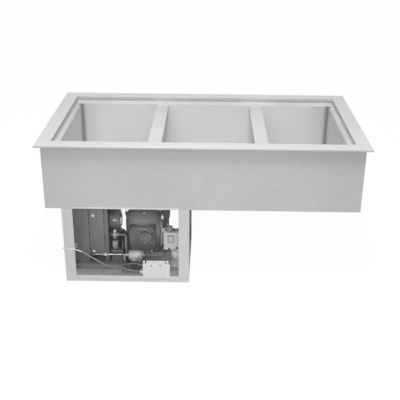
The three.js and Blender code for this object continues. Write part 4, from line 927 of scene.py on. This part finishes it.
# Painted shade: the plate darkens toward its left end, in the can's shadow.
paint(tree, shader, shades(tree, along_axis(tree, where, "X", -0.205, -0.15), grey(0.48), grey(0.58), 0, 1))
dull(tree, shader, spread(tree, noise(tree, where, 50, 3), 0.42, 0.6))
dress(round_edges(front_plate, 0.0005), plate_paint, "dark_steel")
rubber = painted("black_rubber", 0.16, 0.25, 0.8, 0, (40, 3), bumps=(500, 2, 0.15, 0.0003))
grommets = []
bolts = []
for x in (-0.288, -0.156):
    for y in (-0.171, -0.079):
        grommets.append(spun("grommet", [
            (0.0035, 0.0341), (0.0085, 0.0341), (0.009, 0.0355), (0.0085, 0.0375), (0.0035, 0.038),
            (0.0035, 0.0341)], (x, y, 0), "Z", 24))
        bolts.append(hex_bolt("mount_bolt", (x, y, 0.038), (0, 0, 1), 0.0045, 0.0045))
dress(join_pieces("compressor_grommets", grommets), rubber, "black_rubber")
dress(join_pieces("compressor_mount_bolts", bolts), bright, "bright_steel")

# Terminal cover: a moulded black cover over the compressor's terminals, shaped to the can behind it
# and held by a bent wire bail, with a round relay cap and small bright screws.
COVER_TOP = frame_top("terminal_cover")
# Painted light: the cover's top face is painted lighter than its sides.
black_plastic = painted("black_moulding", 0.37, 0.43, 0.6, 0, (20, 3), bumps=(600, 2, 0.08, 0.0003), bands=[
    ("Z", COVER_TOP - 0.002, COVER_TOP - 0.0008, 1, 1.8)])
refine("terminal_cover", black_plastic, "black_plastic", 0.0012, 3)
COVER_FACE = -0.2152
ridges = [tube("cover_ridge", [(-0.265, COVER_FACE, 0.165), (-0.2305, COVER_FACE, 0.0915)], 0.0011),
          tube("cover_ridge", [(-0.262, COVER_FACE, 0.1085), (-0.2505, COVER_FACE, 0.1235)], 0.0009)]
relay = spun("relay_cap_rim", [(0, -0.2222), (0.0205, -0.2222), (0.0212, -0.2232), (0.0235, -0.223),
                               (0.0243, -0.2215), (0.0243, -0.2205), (0, -0.2205)],
             (across(0.6345), 0, upward(0.468)), "Y", 64)
relay_grey = painted("grey_relay_cap", 0.38, 0.5, 0.4, 0.1, (40, 2))
dress(relay, relay_grey, "black_plastic")
dress(join_pieces("cover_ridges", ridges), relay_grey, "black_plastic")
screws = []
for x, z, radius in ((-0.1888, 0.1166, 0.0034), (-0.1785, 0.113, 0.0024), (-0.1878, 0.0799, 0.0036)):
    screws.append(dome("cover_screw", radius, 0.0026, (x, -0.2151, z), (0, -1, 0)))
dress(join_pieces("cover_screws", screws), bright, "bright_steel")
bail = tube("terminal_bail_finished", [(-0.236, -0.2169, 0.1715), (-0.209, -0.2169, 0.1715),
                                       (-0.1926, -0.2169, 0.1583), (-0.183, -0.2169, 0.1648)], 0.0016, 0.0048)
bail_wire = painted("bail_wire", 0.5, 0.68, 0.35, 0.7, (200, 2))
dress(bail, bail_wire, "bright_steel", "terminal_bail", body="bail")

# Valve group: a forged service valve with a screwed cap stands on a line strainer of drawn steel, which
# stands on a small folded shelf.
VALVE_PLACE = centre_of("valve_cap").xy
VALVE_ARM_Z = upward(0.4539)
refine("valve_shelf", shroud_paint, "shroud_grey", 0.0005)
# Painted highlight: a thin strip in lighter grey along the shelf's edge.
edge = round_edges(box("shelf_edge", (-0.3448, -0.2034, 0.0708), (-0.2992, -0.2027, 0.0728)), 0.0002)
filter_grey = painted("strainer_body", 0.62, 0.7, 0.45, 0.25, (26, 3))
barrel = spun("line_strainer_finished", [
    (0, 0.0718), (0.0035, 0.0718), (0.0042, 0.0732), (0.0078, 0.0755), (0.0105, 0.079), (0.0115, 0.0835),
    (0.0115, 0.107), (0.0112, 0.1088), (0.0105, 0.11), (0, 0.11)], (*VALVE_PLACE, 0), "Z", 40)
dress(barrel, filter_grey, "brass", "line_strainer")
stem = spun("service_valve_body", [
    (0, 0.1185), (0.0066, 0.1185), (0.0072, 0.1195), (0.0072, 0.142), (0.0066, 0.143), (0.004, 0.143),
    (0.004, 0.149), (0, 0.149)], (*VALVE_PLACE, 0), "Z", 32)
arm = spun("service_valve_arm", [
    (0, -0.3368), (0.0088, -0.3352), (0.0096, -0.334), (0.0096, -0.3285), (0.009, -0.327), (0.0056, -0.3195),
    (0.0052, -0.3185), (0.0052, -0.3142), (0.0046, -0.3135), (0, -0.3135)],
    (0, VALVE_PLACE.y, VALVE_ARM_Z), "X", 32)
dress(join_pieces("service_valve_finished", [stem, arm]), filter_grey, "brass", "service_valve")
port = spun("service_valve_port", [(0, -0.348), (0.0032, -0.348), (0.0036, -0.3476), (0.0036, -0.3365),
                                   (0, -0.3365)], (0, VALVE_PLACE.y, VALVE_ARM_Z), "X", 24)
dress(port, dark_tube, "brass")
gland = spun("valve_gland", [(0, 0.1103), (0.0072, 0.1103), (0.0078, 0.1112), (0.0078, 0.1176),
                             (0.0072, 0.1185), (0, 0.1185)], (*VALVE_PLACE, 0), "Z", 32)
dress(gland, rubber, "black_rubber")
dress(edge, filter_grey, "shroud_grey")
cap = spun("valve_cap_finished", [
    (0, 0.1496), (0.0043, 0.1496), (0.0043, 0.1433), (0.0068, 0.1433), (0.007, 0.1437), (0.007, 0.1535),
    (0.0066, 0.1548), (0.0055, 0.1553), (0, 0.1553)], (*VALVE_PLACE, 0), "Z", 12)
dress(cap, bright, "brass", "valve_cap", body="cap")

# Liquid line: a bright plated run from the condenser to a forged tee, with a flare nut on the way. Dull
# tubes go up from the tee to the valve and forward to the drier.
LINE_PIPE = 0.0044
TEE_X, LINE_Y, LINE_Z = across(0.4644), VALVE_PLACE.y, upward(0.1672)
DRIER_Y, DRIER_Z = centre_of("filter_drier").yz
run = tube("liquid_line_finished", [(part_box("liquid_line")[0].x, LINE_Y, LINE_Z), (TEE_X, LINE_Y, LINE_Z)],
           LINE_PIPE)
grommet = spun("line_grommet", [
    (LINE_PIPE, -0.4217), (0.0052, -0.4217), (0.0055, -0.421), (0.0055, -0.406), (0.005, -0.4052),
    (LINE_PIPE, -0.4052), (LINE_PIPE, -0.4217)], (0, LINE_Y, LINE_Z), "X", 24)
riser = tube("liquid_riser", [(TEE_X, LINE_Y, LINE_Z), (TEE_X, LINE_Y, 0.128)], LINE_PIPE)
feed = tube("liquid_feed", [(TEE_X, LINE_Y, LINE_Z), (TEE_X, DRIER_Y, LINE_Z), (TEE_X, DRIER_Y, DRIER_Z),
                            (-0.2768, DRIER_Y, DRIER_Z)], LINE_PIPE)
elbow = tube("liquid_elbow", [(TEE_X, LINE_Y, 0.126), (TEE_X, LINE_Y, VALVE_ARM_Z),
                              (-0.3132, LINE_Y, VALVE_ARM_Z)], 0.0036)
line_metal = painted("bright_tube", 0.64, 0.84, 0.28, 0.65, (24, 3))
dress(run, line_metal, "copper_tube", "liquid_line")
dull_line = painted("dull_line", 0.56, 0.7, 0.5, 0.3, (30, 3))
dress(join_pieces("liquid_riser", [riser, feed]), dull_line, "copper_tube")
dress(elbow, dark_tube, "black_rubber")
TEE_HALF = 0.0064
tee = round_edges(box("liquid_tee", (TEE_X - TEE_HALF, LINE_Y - TEE_HALF, LINE_Z - TEE_HALF),
                      (TEE_X + TEE_HALF, LINE_Y + TEE_HALF, LINE_Z + TEE_HALF)), 0.0018, 3)
dress(round_edges(tee, 0.0008), dull_line, "brass")
fittings = [cylinder("flare_nut", 0.0078, (-0.3715, LINE_Y, LINE_Z), (-0.359, LINE_Y, LINE_Z), 6),
            cylinder("flare_nut", 0.0056, (-0.3795, LINE_Y, LINE_Z), (-0.3745, LINE_Y, LINE_Z), 24)]
dress(round_edges(join_pieces("flare_nut", fittings), 0.0008), white_zinc, "brass")
collars = [cylinder("line_collar", 0.0054, (x, LINE_Y, LINE_Z), (x + 0.0028, LINE_Y, LINE_Z), 24)
           for x in (-0.3744, -0.3588, -0.3825)]
collars = round_edges(join_pieces("line_collars", collars), 0.0004)
dress(join_pieces("line_collars", [collars, grommet]), dark_tube, "copper_tube")

# Filter drier: a spun steel capsule, brazed into the line and cradled by a folded clip, with two
# slanted straps round its right end.
capsule = spun("filter_drier_finished", [
    (0, -0.2765), (0.0055, -0.2765), (0.0055, -0.272), (0.007, -0.271), (0.0135, -0.2704), (0.0168, -0.2685),
    (0.0185, -0.2645), (0.0185, -0.2248), (0.0168, -0.2206), (0.0135, -0.2184), (0.007, -0.2178),
    (0.0055, -0.217), (0.0055, -0.2125), (0, -0.2125)], (0, DRIER_Y, DRIER_Z), "X", 64)
drier_steel = painted("drier_paint", 0.57, 0.68, 0.55, 0.1, (55, 4), bumps=(160, 3, 0.15, 0.0006))
dress(capsule, drier_steel, "bright_steel", "filter_drier")
STRAP_INSIDE, STRAP_OUTSIDE, STRAP_WIDTH = 0.0182, 0.0191, 0.0042
STRAP_LEAN, STRAP_STRETCH = math.radians(25), 1.1
straps = []
for start in (-0.2352, -0.2265):
    end = start + STRAP_WIDTH
    band = spun("drier_strap", [(STRAP_INSIDE, start), (STRAP_OUTSIDE, start), (STRAP_OUTSIDE, end),
                                (STRAP_INSIDE, end), (STRAP_INSIDE, start)], (0, 0, 0), "X", 48)
    middle = Vector(((start + end) / 2, 0, 0))
    band.data.transform(Matrix.Scale(STRAP_STRETCH, 4, (0, 0, 1)))
    lean = Matrix.Rotation(STRAP_LEAN, 4, "Y")
    band.data.transform(Matrix.Translation(middle) @ lean @ Matrix.Translation(-middle))
    band.data.transform(Matrix.Translation((0, DRIER_Y, DRIER_Z)))
    straps.append(band)
dress(join_pieces("drier_straps", straps), dark_paint, "dark_steel")
refine("drier_clip", dark_paint, "bright_steel", 0.0006)
clip_edges = [box("clip_edge", (left, -0.2612, 0.064), (right, -0.2602, 0.0668))
              for left, right in ((-0.2585, -0.2485), (-0.2465, -0.2405), (-0.2335, -0.2255))]
dress(round_edges(join_pieces("clip_edges", clip_edges), 0.0002), white_zinc, "bright_steel")

# Valve line: a small tube from the drier to the expansion valve, which hangs from the tube that goes up
# into the casing.
HANG_X, HANG_Y = across(0.8044), inward(0.8785)
thin = tube("valve_line_tube", [(-0.2122, DRIER_Y, DRIER_Z), (-0.1385, DRIER_Y, DRIER_Z),
                                (-0.1385, HANG_Y, DRIER_Z), (-0.1385, HANG_Y, 0.215),
                                (HANG_X, HANG_Y, 0.232)], 0.0028)
body = spun("expansion_valve_body", [
    (0, 0.23), (0.006, 0.23), (0.009, 0.2315), (0.0095, 0.2335), (0.0095, 0.2435), (0.0138, 0.2442),
    (0.0144, 0.2455), (0.0144, 0.2515), (0.0135, 0.2532), (0.0095, 0.2575), (0.007, 0.258), (0, 0.258)],
    (HANG_X, HANG_Y, 0), "Z", 32)
dress(join_pieces("valve_line_finished", [thin, body]), dark_tube, "copper_tube", "valve_line")

# Suction line: it comes down from the evaporator inside a black foam sleeve and turns into the can. Two
# wrapped hoses and a thin pale tube hang beside it.
SUCTION_PLACE = centre_of("suction_sleeve").xy
PORT_Z = upward(0.256)
suction = tube("suction_line_finished", [
    (*SUCTION_PLACE, 0.2877), (*SUCTION_PLACE, upward(0.5461)), (-0.1525, SUCTION_PLACE.y, 0.138),
    (-0.1525, SUCTION_PLACE.y, PORT_Z), (-0.1567, SUCTION_PLACE.y, PORT_Z)], 0.0036)
dress(suction, line_metal, "copper_tube", "suction_line")
capillary = tube("capillary_tube", [
    (-0.1512, -0.17, 0.178), (-0.1512, -0.195, 0.1745), (-0.1505, -0.195, 0.152), (-0.1525, -0.195, 0.142),
    (-0.1522, -0.195, 0.0953), (-0.158, -0.185, 0.0885)], 0.0026, 0.008)
pale_tube = painted("pale_tube", 0.68, 0.84, 0.4, 0.2, (90, 2))
dress(capillary, pale_tube, "copper_tube")
sleeve_foam = painted("sleeve_foam", 0.34, 0.5, 0.9, 0, (70, 4), bumps=(220, 3, 0.5, 0.0012))
SLEEVE_RADIUS, WAVE, WAVE_PITCH = 0.0128, 0.0004, 0.0068
sleeve_rows = [(0.0038, 0.1585), (0.0046, 0.1588), (0.0048, 0.17), (0.0062, 0.1745), (0.0092, 0.1795),
               (0.0112, 0.187), (0.0124, 0.196), (0.0126, 0.202)]
for step in range(12):
    sleeve_rows.append((SLEEVE_RADIUS + WAVE * math.sin(step * 2.1), 0.212 + step * WAVE_PITCH))
sleeve_rows += [(0.0126, 0.2921), (0.0122, 0.2927), (0.0038, 0.2927), (0.0038, 0.1585)]
sleeve = spun("suction_sleeve_finished", sleeve_rows, (*SUCTION_PLACE, 0), "Z", 40)
dress(sleeve, sleeve_foam, "black_foam", "suction_sleeve")
hose = tube("sensor_hose", [(-0.1492, -0.158, 0.2925), (-0.1507, -0.158, 0.2236), (-0.1568, -0.158, 0.2028),
                            (-0.1565, -0.158, 0.184), (-0.1477, -0.16, 0.1707), (-0.1337, -0.172, 0.1645),
                            (-0.128, -0.2125, 0.16)], 0.0034, 0.012)
second = tube("sensor_hose", [(-0.1475, -0.15, 0.2925), (-0.1478, -0.15, 0.203), (-0.1444, -0.15, 0.1935),
                              (-0.1444, -0.15, 0.172)], 0.0042)
wrap = tube("hose_wrap", [(-0.147, -0.157, 0.182), (-0.1455, -0.158, 0.1705), (-0.1415, -0.162, 0.152)],
            0.0082)
hose_end = tube("sensor_hose", [(-0.1365, -0.17, 0.1655), (-0.1337, -0.172, 0.1645), (-0.128, -0.2125, 0.16)],
                0.0045)
dress(join_pieces("sensor_hoses", [hose, hose_end, second, wrap]), sleeve_foam, "black_foam")

# Discharge line: a bent copper tube, brazed at both ends, that takes hot gas from the back of the can
# up over the fan and into the condenser's top.
HOT_X, HOT_Y = PUMP_PLACE[0], inward(0.7762)
HOT_LOW, HOT_HIGH = upward(0.5119), upward(0.9044)
discharge = tube("discharge_line_finished", [
    (HOT_X, -0.0598, HOT_LOW), (HOT_X, HOT_Y, HOT_LOW), (HOT_X, HOT_Y, HOT_HIGH),
    (-0.4217, HOT_Y, HOT_HIGH)], 0.0048)
dress(discharge, copper, "copper_tube", "discharge_line")

# Receiver: a painted steel bottle with spun ends that lies on a saddle, fed by a tube from the foot of
# the condenser.
RECEIVER_RADIUS = 0.0245
RECEIVER_X, RECEIVER_Y, RECEIVER_Z = across(0.8867), -0.13, frame_top("receiver") - RECEIVER_RADIUS
half = [(0, 0.07), (0.008, 0.0695), (0.0165, 0.0665), (0.0218, 0.061), (0.0243, 0.054),
        (RECEIVER_RADIUS, 0.048)]
bottle = spun("receiver_bottle", [(r, -y) for r, y in half] + half[::-1],
              (RECEIVER_X, RECEIVER_Y, RECEIVER_Z), "Y", 64)
saddle = round_edges(box("receiver_saddle", (RECEIVER_X - 0.0122, -0.165, 0.0183),
                         (RECEIVER_X + 0.0122, -0.095, 0.036)), 0.001)
FEED_Y, FEED_Z = 0.022, upward(0.1092)
feed = tube("receiver_feed", [(-0.4217, FEED_Y, FEED_Z), (RECEIVER_X, FEED_Y, FEED_Z),
                              (RECEIVER_X, FEED_Y, RECEIVER_Z), (RECEIVER_X, -0.066, RECEIVER_Z)], 0.0048)
bottle_paint = painted("receiver_paint", 0.94, 0.98, 0.5, 0.05, (18, 4), bumps=(300, 2, 0.08, 0.0004))
dress(join_pieces("receiver_finished", [bottle, saddle]), bottle_paint, "box_grey", "receiver")
dress(feed, dark_tube, "copper_tube")
strip = round_edges(box("receiver_base_strip", (-0.1285, -0.2195, 0.0181), (-0.062, -0.1, 0.0192)), 0.0004)
dress(strip, bottle_paint, "box_grey")

# Control box: a folded grey box on its post, closed by a flat cover with a plain plate and screws. A
# knob on its top sets the cold.
box_paint = painted("grey_box_paint", 0.73, 0.8, 0.42, 0.25, (16, 3), bumps=(500, 2, 0.06, 0.0003))
refine("control_box", box_paint, "box_grey", 0.0004)
refine("control_cover", box_paint, "box_grey", 0.0004)
plate = round_edges(box("control_plate", (-0.1265, -0.2501, 0.1335), (-0.1035, -0.2494, 0.1645)), 0.0003)
plate_grey = painted("bare_plate", 0.54, 0.62, 0.5, 0.2, (120, 2))
dress(plate, plate_grey, "box_grey")
window = round_edges(box("control_plate_face", (-0.1222, -0.2503, 0.1388), (-0.1078, -0.25, 0.1592)), 0.0001)
dress(window, box_paint, "box_grey")
BOX_FACE, BOX_TOP = -0.2495, 0.175
screws = [dome("control_screw", 0.0034, 0.0022, (-0.1318, BOX_FACE, 0.1085), (0, -1, 0)),
          dome("control_screw", 0.0026, 0.0018, (-0.0755, BOX_FACE, 0.1695), (0, -1, 0)),
          dome("control_screw", 0.0042, 0.0045, (-0.1345, -0.2395, BOX_TOP), (0, 0, 1))]
dress(join_pieces("control_screws", screws), bright, "bright_steel")
plugs = [dome("control_plug", 0.0045, 0.0022, (-0.0926, BOX_FACE, 0.1123), (0, -1, 0)),
         dome("control_plug", 0.0036, 0.0024, (-0.1215, BOX_FACE, 0.1087), (0, -1, 0)),
         dome("control_plug", 0.004, 0.004, (-0.1022, -0.227, BOX_TOP), (0, 0, 1)),
         dome("control_plug", 0.004, 0.004, (-0.0886, -0.227, BOX_TOP), (0, 0, 1))]
dress(join_pieces("control_plugs", plugs), rubber, "black_rubber")
knob_profile = [(0, 0.1659), (0.003, 0.1659), (0.003, 0.1753), (0.0122, 0.1753), (0.0125, 0.1762),
                (0.0125, 0.178), (0.0119, 0.1788), (0.0119, 0.1868), (0.0112, 0.19), (0.0093, 0.1926),
                (0.0062, 0.194), (0.003, 0.1943), (0, 0.1943)]
KNOB_PLACE = centre_of("thermostat_knob").xy
knob = spun("thermostat_knob_finished", knob_profile, (*KNOB_PLACE, 0), "Z", 48)
grips = [round_edges(cylinder("knob_grip", 0.0009, (x, y, 0.1795), (x, y, 0.1865), 10), 0.0004)
         for x, y in ring(16, 0.0116, KNOB_PLACE)]
knob_grey = painted("grey_knob", 0.5, 0.62, 0.5, 0, (60, 2))
dress(join_pieces("thermostat_knob_finished", [knob] + grips), knob_grey, "knob_grey", "thermostat_knob",
      body="knob")

# Junction box: a pressed galvanised utility box on the front rail, with a raised cover whose face is
# embossed with crossed ribs, two holes shown as dark discs of painted shade, and a clamp connector for
# the thin lead.
cover_zinc = galvanised_sheet("bright_zinc", 0.78, 0.82, 0.2)
# Painted shade: the box's left side is painted darker than its front.
box_zinc = galvanised_sheet("box_zinc", 0.78, 0.82, 0.2, [("X", -0.2168, -0.2176, 1, 0.62)])
refine("junction_box", box_zinc, "galvanised", 0.0005)
cover = box("junction_cover_finished", (-0.215, -0.3079, 0.019), (-0.116, -0.3063, 0.0773))
select_edges(cover, lambda a, b: abs(a.y - b.y) > 0.001)
bpy.ops.mesh.bevel(offset=0.0055, segments=5)
leave_edit()
round_edges(cover, 0.0005, 3)
dress(cover, cover_zinc, "galvanised", "junction_cover")
lip = round_edges(box("junction_lip", (-0.2012, -0.3059, 0.0765), (-0.1328, -0.3047, 0.0868)), 0.0004)
dress(lip, cover_zinc, "galvanised")
LID_FACE = -0.3079
RIB_Y, RIB_Z, RIB_WIDE, RIB_HIGH = LID_FACE + 0.00035, 0.0405, 0.0125, 0.0155
ribs = []
for centre in (-0.192, -0.166, -0.14):
    for lean in (-1, 1):
        ends = [(centre + way * RIB_WIDE, RIB_Y, RIB_Z + way * lean * RIB_HIGH) for way in (-1, 1)]
        ribs.append(tube("cover_rib", ends, 0.0008))
dress(join_pieces("cover_ribs_crossed", ribs), frame_steel, "galvanised")
EAR_FACE = -0.301
ears = []
for x in (-0.2105, -0.1245):
    ear = box("box_ear", (x - 0.0035, EAR_FACE, 0.0705), (x + 0.0035, -0.2998, 0.0858))
    ears.append(round_edges(ear, 0.0004))
    ears.append(dome("box_ear", 0.0032, 0.0025, (x, EAR_FACE, 0.0815), (0, -1, 0)))
dress(join_pieces("junction_ears", ears), white_zinc, "bright_steel")
# Painted shade: the holes are flat dark discs on the cover's face.
holes = [cylinder("cover_hole", 0.0027, (x, LID_FACE - 0.00015, z), (x, LID_FACE + 0.0003, z), 20)
         for x, z in ((-0.1828, 0.0692), (-0.1508, 0.0697))]
hole_shade = painted("dark_hole", 0.22, 0.28, 0.9, 0, (90, 2))
dress(round_edges(join_pieces("cover_holes", holes), 0.0001), hole_shade, "black_plastic")

# Leads: a thin grey lead with a pale sleeve at its end runs from the connector to the left leg, where a
# tie holds it, and up inside the leg. A black lead loops over the pan to the terminal cover, and the
# fan motor's lead comes down to the pan and the junction box.
lead_jacket, tree, shader, where = surface("grey_lead", grey(0.5), 0.5, 0)
# Painted shade: the lead darkens where it runs back under the well. A painted highlight lightens its end at
# the connector.
painted_lead_shade = along_axis(tree, where, "X", -0.375, -0.325)
color = shades(tree, painted_lead_shade, grey(0.56), grey(0.42), 0, 1)
paint(tree, shader, banded(tree, where, color, [("X", -0.275, -0.255, 1, 1.5)]))
pale_jacket = painted("pale_lead", 0.79, 0.85, 0.45, 0, (60, 2))
LEAD_Y, LEG_X = -0.2992, -0.4724
route = ((0.5467, 0.1468), (0.4822, 0.1741), (0.3289, 0.2116), (0.1378, 0.4061), (0.0711, 0.4437))
lead = tube("sensor_lead_finished", [(-0.2263, -0.2945, 0.0349), (-0.2343, -0.2945, 0.0349)]
            + [(across(x), LEAD_Y, upward(z)) for x, z in route]
            + [(LEG_X, LEAD_Y, 0.168), (LEG_X, LEAD_Y, 0.2907)], 0.0019, 0.012)
dress(lead, lead_jacket, "lead_white", "sensor_lead")
sleeve = tube("lead_end_sleeve", [(-0.4592, LEAD_Y, 0.1279), (-0.4355, LEAD_Y, 0.1192)], 0.0021)
dress(sleeve, white_zinc, "lead_white")
tail = round_edges(box("tie_tail", (-0.5034, -0.3005, 0.1305), (-0.5002, -0.2972, 0.1345)), 0.0006)
dress(tail, plate_grey, "lead_white")
refine("lead_tie", pale_jacket, "lead_white", 0.0004)
black_jacket = painted("black_jacket", 0.32, 0.4, 0.42, 0, (30, 3))
route = ((0.56, 0.0691, 0.2116), (0.46, 0.0718, 0.2), (0.4467, 0.0718, 0.13), (0.51, 0.0718, 0.1),
         (0.58, 0.0773, 0.105), (0.6467, 0.11, 0.14))
BOX_HOLE, COVER_HOLE = (-0.29067, 0.05967), (-0.20598, -0.20699)
black_lead = tube("power_lead_finished", [(-0.2023, *BOX_HOLE), (-0.2143, *BOX_HOLE)]
                  + [(across(x), inward(y), upward(z)) for x, y, z in route]
                  + [(*COVER_HOLE, upward(0.14)), (*COVER_HOLE, 0.0597)], 0.003, 0.012)
dress(black_lead, black_jacket, "black_rubber", "power_lead")
motor_lead = tube("motor_lead", [
    (-0.322, -0.1, 0.118), (-0.3149, -0.113, 0.1222), (-0.2982, -0.14, 0.1301), (-0.2885, -0.16, 0.1284),
    (-0.2965, -0.178, 0.121), (-0.2965, -0.205, 0.11), (-0.2968, -0.232, 0.0704), (-0.2978, -0.24, 0.044),
    (-0.2906, -0.25, 0.0287), (-0.276, -0.264, 0.0258), (-0.2275, -0.2905, 0.0297)], 0.0026, 0.01)
dress(motor_lead, black_jacket, "black_rubber")
